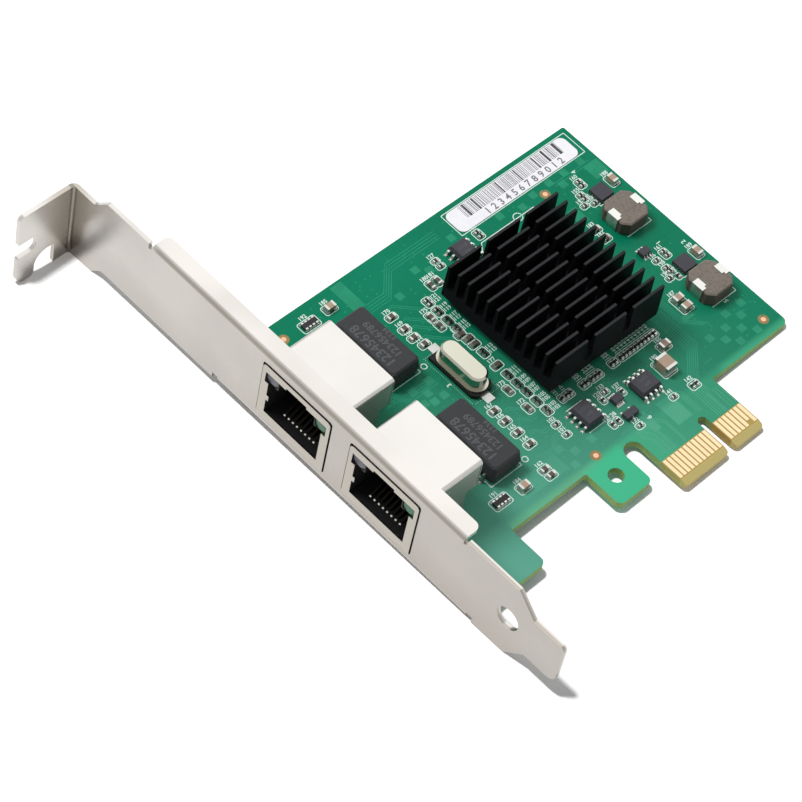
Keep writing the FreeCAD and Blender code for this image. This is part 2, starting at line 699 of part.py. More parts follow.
def light_outline(y, side, gap):
    """Front outline of a light: round below, square above."""
    low, high = light_place(y, side)
    return [
        (low - gap, PORT_SHOULDER - gap, LIGHT_R),
        (high + gap, PORT_SHOULDER - gap, LIGHT_R),
        (high + gap, LIGHT_ROW_TOP + gap, 0),
        (low - gap, LIGHT_ROW_TOP + gap, 0),
    ]


def jack_housing(y):
    """Moulded housing with the plug cavity, latch channel, light pockets and contact grooves."""
    inset = SHIELD_T + HOUSING_GAP
    front = JACK_FRONT + inset
    top = JACK_TOP - inset
    body = jack_block(y, inset, SHIELD_R, front, HOUSING_REAR)
    half_plug = PORT_W / 2
    plug = block(front, PLUG_DEPTH, y - half_plug, y + half_plug, PORT_BOTTOM, PORT_SHOULDER)
    channel = block(front, LATCH_DEPTH, y - CHANNEL_W / 2, y + CHANNEL_W / 2, PORT_SHOULDER, LIGHT_ROW_TOP)
    latch = block(front, LATCH_DEPTH, y - LATCH_W / 2, y + LATCH_W / 2, LIGHT_ROW_TOP, top)
    cutters = [plug, channel, latch]
    for side in (-1, 1):
        pocket = light_outline(y, side, HOUSING_GAP)
        depth = LIGHT_FRONT + LIGHT_DEPTH + HOUSING_GAP - front
        cutters.append(plate(pocket, lambda u, v: V(front, u, v), V(depth, 0, 0)))
    half_groove = CONTACT_W / 2 + CONTACT_SIDE_GAP
    for contact_y in contact_places(y):
        cutters.append(block(CONTACT_FRONT - CONTACT_SIDE_GAP, HOUSING_REAR, contact_y - half_groove,
                             contact_y + half_groove, GROOVE_FLOOR, CONTACT_T + CONTACT_SIDE_GAP))
    return body.cut(cutters)


def contact_places(y):
    """Y of each spring contact in a jack."""
    first = y - CONTACT_PITCH * (CONTACT_COUNT - 1) / 2
    return [first + CONTACT_PITCH * i for i in range(CONTACT_COUNT)]


def jack_contacts(y):
    """Spring contacts: a slanting arm, a run under the floor and a foot on the board."""
    run = GROOVE_FLOOR + CONTACT_SIDE_GAP
    rise = HOUSING_REAR - CONTACT_SIDE_GAP
    lean = (CONTACT_TIP_X - CONTACT_FRONT) / (CONTACT_TIP_Z - run)
    side = [
        (CONTACT_FRONT + CONTACT_T, run),
        (rise, run),
        (rise, 0),
        (CONTACT_FOOT_END, 0),
        (CONTACT_FOOT_END, CONTACT_T),
        (rise - CONTACT_T, CONTACT_T),
        (rise - CONTACT_T, run + CONTACT_T),
        (CONTACT_FRONT + CONTACT_T * (1 + lean), run + CONTACT_T),
        (CONTACT_TIP_X + CONTACT_T / 2, CONTACT_TIP_Z),
        (CONTACT_TIP_X, CONTACT_TIP_Z + CONTACT_T),
        (CONTACT_FRONT, run + CONTACT_T),
    ]
    corners = [(u, v, 0) for u, v in side]
    contacts = []
    for contact_y in contact_places(y):
        edge = contact_y - CONTACT_W / 2
        contacts.append(plate(corners, lambda u, v: V(u, edge, v), V(0, CONTACT_W, 0)))
    return contacts


def jack_light(y, side):
    """Light pipe that shows in the port's upper corner."""
    return plate(light_outline(y, side, 0), lambda u, v: V(LIGHT_FRONT, u, v), V(LIGHT_DEPTH, 0, 0))


# ---- leaded packages -------------------------------------------------------------
def moulded_body(length, width, height, lift, cut, edge):
    """Moulded package with cut corners, drafted above and below the band that its leads leave by."""
    band = lift + (height - lift) * BAND_SHARE
    half_band = LEAD_T / 2
    levels = [
        (lift, PACKAGE_DRAFT),
        (band - half_band, 0),
        (band + half_band, 0),
        (height - edge, PACKAGE_DRAFT),
        (height, PACKAGE_DRAFT + edge),
    ]
    wires = [octagon(length - 2 * inset, width - 2 * inset, cut, z) for z, inset in levels]
    return Part.makeLoft(wires, True, True), band


def gull_lead(side, inner, tip, band):
    """Lead that leaves the package level, drops and lies flat; side is -1 or 1."""
    knee = inner + (tip - inner) * KNEE_SHARE
    ankle = inner + (tip - inner) * ANKLE_SHARE
    top = band + LEAD_T / 2
    outline = [
        (inner, top), (knee + LEAD_T / 2, top), (ankle + LEAD_T, LEAD_T), (tip, LEAD_T),
        (tip, 0), (ankle, 0), (knee - LEAD_T / 2, top - LEAD_T), (inner, top - LEAD_T),
    ]
    corners = [(side * u, v, 0) for u, v in outline]
    return plate(corners, lambda u, v: V(u, -LEAD_W / 2, v), V(0, LEAD_W, 0))


def lead_rows(width, span, count, band):
    """Two rows of gull-wing leads about the origin."""
    first = -LEAD_PITCH * (count - 1) / 2
    leads = []
    for side in (-1, 1):
        lead = gull_lead(side, width / 2, span / 2, band)
        for i in range(count):
            leads.append(turned(lead, 0, first + LEAD_PITCH * i, "x"))
    return leads


def transformer(y):
    """Pulse transformer: body and leads."""
    body, band = moulded_body(TRANSFORMER_W, TRANSFORMER_LENGTH, TRANSFORMER_H, PACKAGE_LIFT,
                              TRANSFORMER_CUT, TRANSFORMER_EDGE)
    leads = lead_rows(TRANSFORMER_W, TRANSFORMER_SPAN, TRANSFORMER_LEAD_COUNT, band)
    return [turned(body, TRANSFORMER_X, y, "x")], [turned(lead, TRANSFORMER_X, y, "x") for lead in leads]


def small_chip(x, y, along):
    """Eight-lead chip: body and leads."""
    body, band = moulded_body(SMALL_CHIP_W, SMALL_CHIP_LENGTH, SMALL_CHIP_H, PACKAGE_LIFT,
                              SMALL_CHIP_CUT, SMALL_CHIP_EDGE)
    leads = lead_rows(SMALL_CHIP_W, SMALL_CHIP_SPAN, SMALL_CHIP_LEAD_COUNT, band)
    return [turned(body, x, y, along)], [turned(lead, x, y, along) for lead in leads]


def small_packages():
    """Small packages with flat leads below and above: bodies and leads."""
    bodies = []
    leads = []
    for x, y, length, width, below, above in SMALL_PACKAGES:
        bodies.append(centred_block(x, y, length, width, SMALL_PACKAGE_LIFT, SMALL_PACKAGE_H))
        for side, count in ((-1, below), (1, above)):
            pitch = length * SMALL_LEAD_SPREAD / max(count - 1, 1)
            for i in range(count):
                lead_x = x + pitch * (i - (count - 1) / 2)
                near = y + side * width / 2
                far = near + side * SMALL_LEAD_OUT
                step = near + side * SMALL_LEAD_T
                foot = block(lead_x - SMALL_LEAD_W / 2, lead_x + SMALL_LEAD_W / 2,
                             min(near, far), max(near, far), 0, SMALL_LEAD_T)
                shin = block(lead_x - SMALL_LEAD_W / 2, lead_x + SMALL_LEAD_W / 2,
                             min(near, step), max(near, step), 0, SMALL_PACKAGE_H / 2)
                leads.append(fuse([foot, shin]))
    return bodies, leads


# ---- heatsink and controller chip ------------------------------------------------
def heatsink():
    """Extruded comb of tapered fins, cut across into columns."""
    base_top = SINK_BOTTOM + SINK_BASE_T
    left = SINK_Y - SINK_W / 2
    right = SINK_Y + SINK_W / 2
    pitch = (SINK_W - FIN_ROOT_T) / (FIN_ROW_COUNT - 1)
    points = [(left, SINK_BOTTOM), (right, SINK_BOTTOM)]
    for row in reversed(range(FIN_ROW_COUNT)):
        middle = left + FIN_ROOT_T / 2 + pitch * row
        points += [
            (middle + FIN_ROOT_T / 2, base_top),
            (middle + FIN_TIP_T / 2, SINK_TOP),
            (middle - FIN_TIP_T / 2, SINK_TOP),
            (middle - FIN_ROOT_T / 2, base_top),
        ]
    start = SINK_X - SINK_LENGTH / 2
    comb = plate([(u, v, 0) for u, v in points], lambda u, v: V(start, u, v), V(SINK_LENGTH, 0, 0))
    column = (SINK_LENGTH - FIN_GAP * (FIN_COLUMN_COUNT - 1)) / FIN_COLUMN_COUNT
    channels = []
    for i in range(1, FIN_COLUMN_COUNT):
        x = start + i * (column + FIN_GAP)
        channels.append(block(x - FIN_GAP, x, left, right, base_top, SINK_TOP))
    return comb.cut(channels)


def controller_solder():
    """Solder under the controller chip."""
    first = -SOLDER_PITCH * (SOLDER_ROW_COUNT - 1) / 2
    pads = []
    for i in range(SOLDER_ROW_COUNT):
        for j in range(SOLDER_ROW_COUNT):
            pads.append(centred_block(SINK_X + first + SOLDER_PITCH * i, SINK_Y + first + SOLDER_PITCH * j,
                                      SOLDER_PAD, SOLDER_PAD, 0, SOLDER_T))
    return pads


def stacked_square(size, z0, thickness):
    """Square layer under the heatsink."""
    return centred_block(SINK_X, SINK_Y, size, size, z0, z0 + thickness)


# ---- crystal ---------------------------------------------------------------------
def stadium(width, length, z0, z1):
    """Round-ended solid along Y at the crystal's place."""
    corners = rounded_rectangle(CRYSTAL_X - width / 2, CRYSTAL_X + width / 2,
                                CRYSTAL_Y - length / 2, CRYSTAL_Y + length / 2, width / 2)
    return plate(corners, flat(z0), V(0, 0, z1 - z0))


def crystal_can():
    """Pressed can on its welded rim."""
    rim_bottom = CRYSTAL_LEAD_T + CRYSTAL_BASE_T
    rim_top = rim_bottom + CRYSTAL_RIM_T
    rim = stadium(CRYSTAL_RIM_W, CRYSTAL_RIM_LENGTH, rim_bottom, rim_top)
    can = stadium(CRYSTAL_CAN_W, CRYSTAL_CAN_LENGTH, rim_top, CRYSTAL_TOP)
    crown = [edge for edge in can.Edges if edge.BoundBox.ZMin > CRYSTAL_TOP - CRYSTAL_EDGE]
    return fuse([rim, can.makeChamfer(CRYSTAL_EDGE, crown)])


def crystal_base():
    """Insulating base with cut corners."""
    half_w = CRYSTAL_BASE_W / 2
    half_l = CRYSTAL_BASE_LENGTH / 2
    cut = CRYSTAL_BASE_CUT
    points = [
        (-half_w + cut, -half_l), (half_w - cut, -half_l), (half_w, -half_l + cut),
        (half_w, half_l), (-half_w, half_l), (-half_w, -half_l + cut),
    ]
    corners = [(CRYSTAL_X + u, CRYSTAL_Y + v, 0) for u, v in points]
    return plate(corners, flat(CRYSTAL_LEAD_T), V(0, 0, CRYSTAL_BASE_T))


def crystal_leads():
    """Two flat leads between the base and the board."""
    inside = CRYSTAL_LEAD_INSIDE / 2
    outside = CRYSTAL_LEAD_SPAN / 2
    left = CRYSTAL_X - CRYSTAL_LEAD_W / 2
    right = CRYSTAL_X + CRYSTAL_LEAD_W / 2
    return [block(left, right, CRYSTAL_Y + inside, CRYSTAL_Y + outside, 0, CRYSTAL_LEAD_T),
            block(left, right, CRYSTAL_Y - outside, CRYSTAL_Y - inside, 0, CRYSTAL_LEAD_T)]


# ---- power inductors and regulator chips -----------------------------------------
def inductor(x, y):
    """Octagonal core and the two clips folded over it."""
    top_size = CORE_SIZE - 2 * CORE_EDGE
    core = Part.makeLoft([
        octagon(CORE_SIZE, CORE_SIZE, CORE_CUT, CLIP_T),
        octagon(CORE_SIZE, CORE_SIZE, CORE_CUT, CORE_TOP - CORE_EDGE),
        octagon(top_size, top_size, CORE_CUT, CORE_TOP),
    ], True, True)
    inner = CORE_SIZE / 2
    outer = inner + CLIP_T
    tip = outer - CLIP_REACH
    section = [
        (tip, 0), (outer, 0), (outer, CORE_TOP + CLIP_T), (tip, CORE_TOP + CLIP_T),
        (tip, CORE_TOP), (inner, CORE_TOP), (inner, CLIP_T), (tip, CLIP_T),
    ]
    clips = []
    for side in (-1, 1):
        corners = [(side * u, v, 0) for u, v in section]
        clip = plate(corners, lambda u, v: V(u, -CLIP_W / 2, v), V(0, CLIP_W, 0))
        notch = block(min(side * tip, side * (tip + CLIP_NOTCH)), max(side * tip, side * (tip + CLIP_NOTCH)),
                      -CLIP_W / 2, -CLIP_W / 2 + CLIP_NOTCH, CORE_TOP, CORE_TOP + CLIP_T)
        clips.append(turned(clip.cut(notch), x, y, "x"))
    return [turned(core, x, y, "x")], clips


def regulator(x, y):
    """Leadless regulator chip: body and the pads along its four sides."""
    body = centred_block(x, y, REGULATOR_SIZE, REGULATOR_SIZE, 0, REGULATOR_H)
    half = REGULATOR_SIZE / 2
    first = -REGULATOR_PAD_PITCH * (REGULATOR_PAD_COUNT - 1) / 2
    pads = []
    for i in range(REGULATOR_PAD_COUNT):
        along = first + REGULATOR_PAD_PITCH * i
        for side in (-1, 1):
            edge = side * (half + REGULATOR_PAD_OUT / 2)
            pads.append(centred_block(x + edge, y + along, REGULATOR_PAD_OUT, REGULATOR_PAD_W,
                                      0, REGULATOR_PAD_T))
            pads.append(centred_block(x + along, y + edge, REGULATOR_PAD_W, REGULATOR_PAD_OUT,
                                      0, REGULATOR_PAD_T))
    return [body], pads


# ---- chip capacitors and resistors -----------------------------------------------
def chip_part(size, x, y, along):
    """Chip part: its body and its two metal ends."""
    length, width, height, share = size
    end = length * share
    half = length / 2
    body = centred_block(0, 0, length - 2 * end, width, 0, height)
    ends = [block(-half, -half + end, -width / 2, width / 2, 0, height),
            block(half - end, half, -width / 2, width / 2, 0, height)]
    return turned(body, x, y, along), [turned(piece, x, y, along) for piece in ends]


def chip_parts(placed):
    """Bodies and ends of many chip parts given as (size, x, y, along)."""
    bodies = []
    ends = []
    for size, x, y, along in placed:
        body, pair = chip_part(size, x, y, along)
        bodies.append(body)
        ends += pair
    return bodies, ends


def tiny_resistor_places():
    """Places of the paired column beside the heatsink and the row below it."""
    places = []
    for y in RESISTOR_PAIR_YS:
        for offset in (-TINY_PITCH / 2, TINY_PITCH / 2):
            places.append((TINY, RESISTOR_COLUMN_X, y + offset, "x"))
    for start, count in RESISTOR_ROW_GROUPS:
        for i in range(count):
            places.append((TINY, start + TINY_PITCH * i, RESISTOR_ROW_Y, "y"))
    return places


def resistor_networks():
    """Four resistors in one body, with a row of metal ends on both long sides."""
    bodies = []
    ends = []
    first = -NETWORK_PITCH * (NETWORK_COUNT - 1) / 2
    inner_w = NETWORK_W - 2 * NETWORK_END_DEPTH
    for x, y in NETWORKS:
        bodies.append(centred_block(x, y, NETWORK_LENGTH, inner_w, 0, NETWORK_H))
        for i in range(NETWORK_COUNT):
            for side in (-1, 1):
                edge = y + side * (inner_w + NETWORK_END_DEPTH) / 2
                ends.append(centred_block(x + first + NETWORK_PITCH * i, edge, NETWORK_END_W,
                                          NETWORK_END_DEPTH, 0, NETWORK_H))
    return bodies, ends


# ---- the whole card --------------------------------------------------------------
def label():
    """Blank paper label along the board's far edge."""
    corners = rounded_rectangle(LABEL_LEFT, LABEL_RIGHT, LABEL_BOTTOM, LABEL_TOP, LABEL_R)
    return plate(corners, flat(0), V(0, 0, LABEL_T))


def save_pair(body_name, metal_name, pair):
    """Write a package's bodies and its metal pieces as two nodes."""
    bodies, metal = pair
    save(body_name, bodies)
    save(metal_name, metal)


def main():
    os.makedirs("parts", exist_ok=True)
    save("circuit_board", [circuit_board()])
    save("edge_contacts", edge_contacts())
    save("bracket", [bracket()])
    save("bracket_screws", bracket_screws())
    for number, y in enumerate(JACK_YS, 1):
        jack = "jack_%d_" % number
        save(jack + "shield", [jack_shield(y)])
        save(jack + "housing", [jack_housing(y)])
        save(jack + "contacts", jack_contacts(y))
        save(jack + "left_light", [jack_light(y, 1)])
        save(jack + "right_light", [jack_light(y, -1)])
    for number, y in enumerate(TRANSFORMER_YS, 1):
        name = "transformer_%d_" % number
        save_pair(name + "body", name + "leads", transformer(y))
    for name, (x, y, along) in SMALL_CHIPS.items():
        save_pair(name + "_body", name + "_leads", small_chip(x, y, along))
    save_pair("small_package_bodies", "small_package_leads", small_packages())

    save("controller_solder", controller_solder())
    save("controller_carrier", [stacked_square(CARRIER_SIZE, SOLDER_T, CARRIER_T)])
    save("controller_cap", [stacked_square(CAP_SIZE, SOLDER_T + CARRIER_T, CAP_T)])
    save("thermal_pad", [stacked_square(CAP_SIZE, SINK_BOTTOM - PAD_T, PAD_T)])
    save("heatsink", [heatsink()])

    save("crystal_can", [crystal_can()])
    save("crystal_base", [crystal_base()])
    save("crystal_leads", crystal_leads())
    for number, (x, y) in enumerate(INDUCTORS, 1):
        name = "inductor_%d_" % number
        save_pair(name + "core", name + "clips", inductor(x, y))
    for number, (x, y) in enumerate(REGULATORS, 1):
        name = "regulator_%d_" % number
        save_pair(name + "body", name + "pads", regulator(x, y))

    resistors = [(TINY, x, y, along) for x, y, along in SMALL_RESISTORS]
    save_pair("resistor_bodies", "resistor_ends", chip_parts(tiny_resistor_places() + resistors))
    for name, size, places in (
        ("small_capacitor", SMALL, SMALL_CAPACITORS),
        ("medium_capacitor", MEDIUM, MEDIUM_CAPACITORS),
        ("large_capacitor", LARGE, LARGE_CAPACITORS),
    ):
        placed = [(size, x, y, along) for x, y, along in places]
        save_pair(name + "_bodies", name + "_ends", chip_parts(placed))
    save_pair("resistor_network_bodies", "resistor_network_ends", resistor_networks())
    save("label", [label()])


main()
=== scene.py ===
import math
import random

import bmesh
import bpy
from mathutils import Matrix, Vector


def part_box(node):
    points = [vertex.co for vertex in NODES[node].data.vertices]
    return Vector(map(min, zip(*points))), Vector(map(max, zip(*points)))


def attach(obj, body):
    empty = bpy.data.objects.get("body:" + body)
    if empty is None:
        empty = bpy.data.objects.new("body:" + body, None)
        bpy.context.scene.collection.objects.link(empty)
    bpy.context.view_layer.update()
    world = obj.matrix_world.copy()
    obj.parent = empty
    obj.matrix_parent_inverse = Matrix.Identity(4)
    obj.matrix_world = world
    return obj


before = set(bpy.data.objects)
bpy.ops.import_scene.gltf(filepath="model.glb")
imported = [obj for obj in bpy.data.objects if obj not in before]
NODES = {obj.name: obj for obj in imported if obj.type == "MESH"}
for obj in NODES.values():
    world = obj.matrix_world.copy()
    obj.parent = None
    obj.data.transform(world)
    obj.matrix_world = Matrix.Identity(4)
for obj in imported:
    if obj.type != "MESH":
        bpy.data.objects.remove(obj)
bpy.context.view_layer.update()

# Looks of a network interface card.  Places are in millimetres of the card's own frame:
# X into the card from the bracket, Y from the edge connector to the ear, Z up from the
# board's component face.  Meshes are scaled to metres as they are finished.
MM = 0.001
seeded = random.Random(7)


def box_mm(node):
    """Lowest and highest corner of a CAD node, in millimetres."""
    low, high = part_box(node)
    return low / MM, high / MM


BOARD_LOW, BOARD_HIGH = box_mm("circuit_board")
BOARD_T = -BOARD_LOW.z
LABEL_LOW, LABEL_HIGH = box_mm("label")
SINK_LOW, SINK_HIGH = box_mm("heatsink")
BRACKET_LOW = box_mm("bracket")[0]
SHIELD_TOP = box_mm("jack_1_shield")[1].z
FERRITE_TOP = box_mm("inductor_1_core")[1].z
FINGER_TOP = box_mm("edge_contacts")[1].y
STRIP_TOP = 13.6           # top of the board's paler strip over the edge connector
TRACK_START = 6.3          # where tracks begin, just past the gold contacts

# Thickness of what lies on the board, half of it sunk in.  Kinds that cross each other
# differ, so that their tops never share a plane.
AREA_T = 0.008
TRACK_T = 0.012
SQUARE_T = 0.018
INK_T = 0.02
THIN_INK_T = 0.012         # grey print on the label, lower than the bold bars
PAD_T = 0.05
LETTER_DEPTH = 0.006       # numbers reach this far above and below their height


# ---- short ways to wire nodes ----------------------------------------------------
class Value:
    """Output of a node; sums written on it become Math nodes."""

    def __init__(self, wiring, socket):
        self.wiring = wiring
        self.socket = socket

    def math(self, operation, *values):
        """Math node on the values given."""
        return self.wiring.node("ShaderNodeMath", {"operation": operation}, dict(enumerate(values)))

    def __add__(self, other):
        return self.math("ADD", self, other)

    def __sub__(self, other):
        return self.math("SUBTRACT", self, other)

    def __rsub__(self, other):
        return self.math("SUBTRACT", other, self)

    def __mul__(self, other):
        return self.math("MULTIPLY", self, other)

    __radd__ = __add__
    __rmul__ = __mul__

    def above(self, edge, blur):
        """1 where the value is above an edge, 0 below, blurred over a little."""
        sizes = {"Value": self, "From Min": edge - blur, "From Max": edge + blur}
        return self.wiring.node("ShaderNodeMapRange", {"interpolation_type": "SMOOTHSTEP"}, sizes)

    def below(self, edge, blur):
        """1 where the value is below an edge, 0 above."""
        return 1 - self.above(edge, blur)


class Wiring:
    """Adds nodes to a tree."""

    def __init__(self, tree):
        self.tree = tree

    def feed(self, socket, value):
        """Links a value to a socket, or sets a plain one on it."""
        if isinstance(value, Value):
            self.tree.links.new(value.socket, socket)
        else:
            socket.default_value = value

    def node(self, kind, settings=None, inputs=None, output=0):
        """A new node with its settings and inputs; gives one of its outputs."""
        made = self.tree.nodes.new(kind)
        for key, value in (settings or {}).items():
            setattr(made, key, value)
        for key, value in (inputs or {}).items():
            self.feed(made.inputs[key], value)
        return Value(self, made.outputs[output])


def rgba(colour):
    return (*colour, 1.0)


class Finish(Wiring):
    """A material built from one principled surface."""

    def __init__(self, name, colour, roughness, metallic=0.0, **constant):
        self.material = bpy.data.materials.new(name)
        self.material.use_nodes = True
        super().__init__(self.material.node_tree)
        self.surface = self.tree.nodes["Principled BSDF"]
        self.set("Base Color", rgba(colour))
        self.set("Roughness", roughness)
        self.set("Metallic", metallic)
        for key, value in constant.items():
            self.set(key.replace("_", " "), value)

    def set(self, name, value):
        self.feed(self.surface.inputs[name], value)

    def place(self, stretch=(1, 1, 1)):
        """Object coordinates in millimetres, stretched."""
        raw = self.node("ShaderNodeTexCoord", output="Object")
        scale = [s / MM for s in stretch]
        return self.node("ShaderNodeMapping", inputs={"Vector": raw, "Scale": scale})

    def axes(self):
        """X, Y and Z in millimetres."""
        split = self.node("ShaderNodeSeparateXYZ", inputs={"Vector": self.place()})
        return [Value(self, socket) for socket in split.socket.node.outputs]

    def noise(self, per_mm, detail=2.0, stretch=(1, 1, 1)):
        return self.node("ShaderNodeTexNoise",
                         inputs={"Vector": self.place(stretch), "Scale": per_mm, "Detail": detail})

    def mix(self, share, first, second):
        """Colour between two colours."""
        pair = [c if isinstance(c, Value) else rgba(c) for c in (first, second)]
        return self.node("ShaderNodeMix", {"data_type": "RGBA"}, {0: share, 6: pair[0], 7: pair[1]}, 2)

    def painted(self):
        """The colour wired so far."""
        return Value(self, self.surface.inputs["Base Color"].links[0].from_socket)

    def bump(self, height, depth):
        """Raises the surface by height (0 to 1) times depth in millimetres."""
        self.set("Normal", self.node("ShaderNodeBump", inputs={"Height": height, "Distance": depth * MM}))


class Pattern(Wiring):
    """A geometry tree with named sizes that ends in real, painted faces."""

    def __init__(self, name, sizes):
        self.group = bpy.data.node_groups.new(name, "GeometryNodeTree")
        self.group.interface.new_socket("Geometry", in_out="INPUT", socket_type="NodeSocketGeometry")
        self.group.interface.new_socket("Geometry", in_out="OUTPUT", socket_type="NodeSocketGeometry")
        super().__init__(self.group)
        self.names = {}
        for key in sizes:
            made = self.group.interface.new_socket(key, in_out="INPUT", socket_type="NodeSocketFloat")
            self.names[key] = made.identifier
        made = self.group.interface.new_socket("Finish", in_out="INPUT", socket_type="NodeSocketMaterial")
        self.names["Finish"] = made.identifier
        self.inlet = self.tree.nodes.new("NodeGroupInput")

    def size(self, name):
        """One of the tree's inputs."""
        return Value(self, self.inlet.outputs[name])

    def end(self, geometry):
        """Makes instances real and gives the faces their finish."""
        real = self.node("GeometryNodeRealizeInstances", inputs={0: geometry})
        painted = self.node("GeometryNodeSetMaterial",
                            inputs={"Geometry": real, "Material": self.size("Finish")})
        outlet = self.tree.nodes.new("NodeGroupOutput")
        self.tree.links.new(painted.socket, outlet.inputs[0])

    def make(self, name, seed_mesh, finish, sizes):
        """Runs the tree on a mesh given in millimetres and returns the plain piece."""
        carrier = bpy.data.objects.new(name + "_seed", seed_mesh)
        bpy.context.scene.collection.objects.link(carrier)
        modifier = carrier.modifiers.new("pattern", "NODES")
        modifier.node_group = self.group
        for key, value in sizes.items():
            modifier[self.names[key]] = value
        modifier[self.names["Finish"]] = finish.material
        bpy.context.view_layer.update()
        grown = carrier.evaluated_get(bpy.context.evaluated_depsgraph_get())
        mesh = bpy.data.meshes.new_from_object(grown)
        bpy.data.objects.remove(carrier)
        return finished(name, mesh, finish)


def finished(name, mesh, finish):
    """Turns a mesh in millimetres into a flat-faced piece of the card."""
    mesh.transform(Matrix.Scale(MM, 4))
    mesh.materials.clear()
    mesh.materials.append(finish.material)
    for face in mesh.polygons:
        face.use_smooth = False
    piece = bpy.data.objects.new(name, mesh)
    bpy.context.scene.collection.objects.link(piece)
    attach(piece, "root")
    return piece


# ---- finishes --------------------------------------------------------------------
MASK_GLOSS = 0.08


def misted(f, x, y, colour):
    """Colour of the mask with a painted sheen, paler towards the bracket's lower end."""
    return f.mix(y.below(26.0, 30.0) * x.below(40.0, 60.0), colour, (0.14, 0.42, 0.32))


def board_finish():
    """Green mask over copper, bare laminate at the connector and along the edges."""
    f = Finish("green_mask", (0.0, 0.24, 0.12), 0.33, Specular_IOR_Level=MASK_GLOSS)
    x, y, z = f.axes()
    cloud = f.noise(0.035, 1.0)
    weave = f.noise(1.4, 3.0)
    deep = f.mix(cloud.above(0.5, 0.25), (0.0, 0.165, 0.082), (0.0, 0.20, 0.105))
    tint = f.mix(weave.above(0.5, 0.35) * 0.3, deep, (0.004, 0.24, 0.13))
    # Painted sheen on the mask towards the bracket's lower end.
    tint = misted(f, x, y, tint)
    strip = y.below(STRIP_TOP, 0.9) * x.above(16.2, 0.2)
    over_tracks = x.above(50.0, 2.0) * x.below(69.0, 1.5)
    strip = strip * (0.8 - over_tracks * 0.4)
    tint = f.mix(strip, tint, f.mix(x.below(38.0, 3.0), (0.06, 0.41, 0.225), (0.13, 0.44, 0.25)))
    lobe = y.below(13.0, 1.2) * x.above(33.5, 1.5) * x.below(42.8, 0.8)
    tint = f.mix(lobe * 0.9, tint, (0.055, 0.50, 0.27))
    side = z.below(-0.06, 0.02) * z.above(0.06 - BOARD_T, 0.02)
    laminate = f.mix(weave, (0.20, 0.32, 0.10), (0.34, 0.46, 0.17))
    tip = y.below(FINGER_TOP + 0.15, 0.05) * x.above(46.0, 0.1)
    bevel = y.below(1.35, 0.05)
    bare = f.mix(bevel, (0.47, 0.33, 0.10), (0.60, 0.50, 0.20))
    colour = f.mix(side, tint, laminate)
    f.set("Base Color", f.mix(tip, colour, bare))
    f.set("Roughness", weave * 0.1 + 0.28 + side * 0.35 + tip * 0.2)
    f.bump(weave, 0.004)
    return f


def metal_finish(name, colour, roughness, grain, depth, clouds=0.1):
    """Satin metal: fine grain, slow clouds of gloss.  Grain is per millimetre, depth in millimetres."""
    f = Finish(name, colour, roughness, 1.0)
    fine = f.noise(grain, 3.0)
    slow = f.noise(0.06, 2.0)
    darker = [c * (1 - clouds) for c in colour]
    f.set("Base Color", f.mix(slow.above(0.5, 0.2) * 0.8 + fine * 0.2, darker, colour))
    f.set("Roughness", slow * 0.12 + fine * 0.08 + (roughness - 0.1))
    f.bump(fine, depth)
    return f


def nickel_finish():
    """Satin nickel sheet with painted shade: browner in its folds and along its punched edges, darker low
    down.
    """
    f = metal_finish("satin_nickel", (0.575, 0.55, 0.52),
                     roughness=0.27, grain=7.0, depth=0.003, clouds=0.16)
    x, y, z = f.axes()
    # Painted shade along the punched edges and in the bends of the flanges.
    rim = x.above(0.04, 0.03) * x.below(0.5, 0.1) * z.above(BRACKET_LOW.z + 2.0, 0.5)
    rim = rim * y.below(86.0, 1.0)
    # Painted shade in the fold where the ear bends out.
    fold = y.above(102.5, 3.5) * x.above(-5.5, 3.5)
    # Painted shade on the flat face: darker low down and away from the ear.
    face_shade_share = y.below(52.0, 34.0) * 0.3 + z.below(1.0, 5.0) * 0.25 + y.below(96.0, 14.0) * 0.34
    painted_light_tone = f.mix(x.below(0.02, 0.02) * face_shade_share, f.painted(), (0.36, 0.33, 0.30))
    shade = rim.math("MAXIMUM", rim * 0.8, fold * 0.7)
    fold_shaded = f.mix(shade, painted_light_tone, (0.31, 0.28, 0.235))
    # Painted shade in the inner fillet of the ear's bend.
    crease = y.above(105.6, 0.15) * x.above(-0.7, 0.15) * x.below(0.1, 0.05)
    f.set("Base Color", f.mix(crease * 0.7, fold_shaded, (0.16, 0.145, 0.12)))
    return f


def tin_finish():
    """Bright tin of the jack shields, duller down the sides, with painted shade on the front round the
    port.
    """
    f = metal_finish("bright_tin", (0.56, 0.545, 0.52), roughness=0.24, grain=4.0, depth=0.002)
    x, _, z = f.axes()
    side = z.below(SHIELD_TOP - 0.35, 0.15) * x.above(1.2, 0.3)
    dull = f.mix(side * 0.8, f.painted(), (0.50, 0.49, 0.46))
    # Painted shade on the front and its fold round the port.
    f.set("Base Color", f.mix(x.below(0.8, 0.2) * 0.85, dull, (0.40, 0.37, 0.32)))
    f.set("Metallic", 1 - side * 0.45)
    return f


def moulded_finish(name, colour, roughness, grain=6.0, depth=0.012):
    """Moulding compound or fired ceramic with an even fine texture."""
    f = Finish(name, colour, roughness, Specular_IOR_Level=0.2)
    fine = f.noise(grain, 3.0)
    slow = f.noise(0.5, 2.0)
    paler = [c * 1.25 + 0.004 for c in colour]
    f.set("Base Color", f.mix(slow * 0.6 + fine * 0.3, colour, paler))
    f.set("Roughness", fine * 0.16 + (roughness - 0.08))
    f.bump(fine, depth)
    return f


def ferrite_finish():
    """Pressed ferrite, dusty on top and darker down its sides."""
    f = moulded_finish("ferrite_core", (0.19, 0.165, 0.14), roughness=0.7, grain=3.0, depth=0.03)
    _, _, z = f.axes()
    speck = f.noise(2.2, 4.0)
    dusty = f.mix(speck.above(0.56, 0.06) * 0.35, f.painted(), (0.09, 0.075, 0.06))
    side = z.below(FERRITE_TOP - 0.25, 0.12)
    f.set("Base Color", f.mix(side * 0.8, dusty, (0.075, 0.062, 0.048)))
    return f


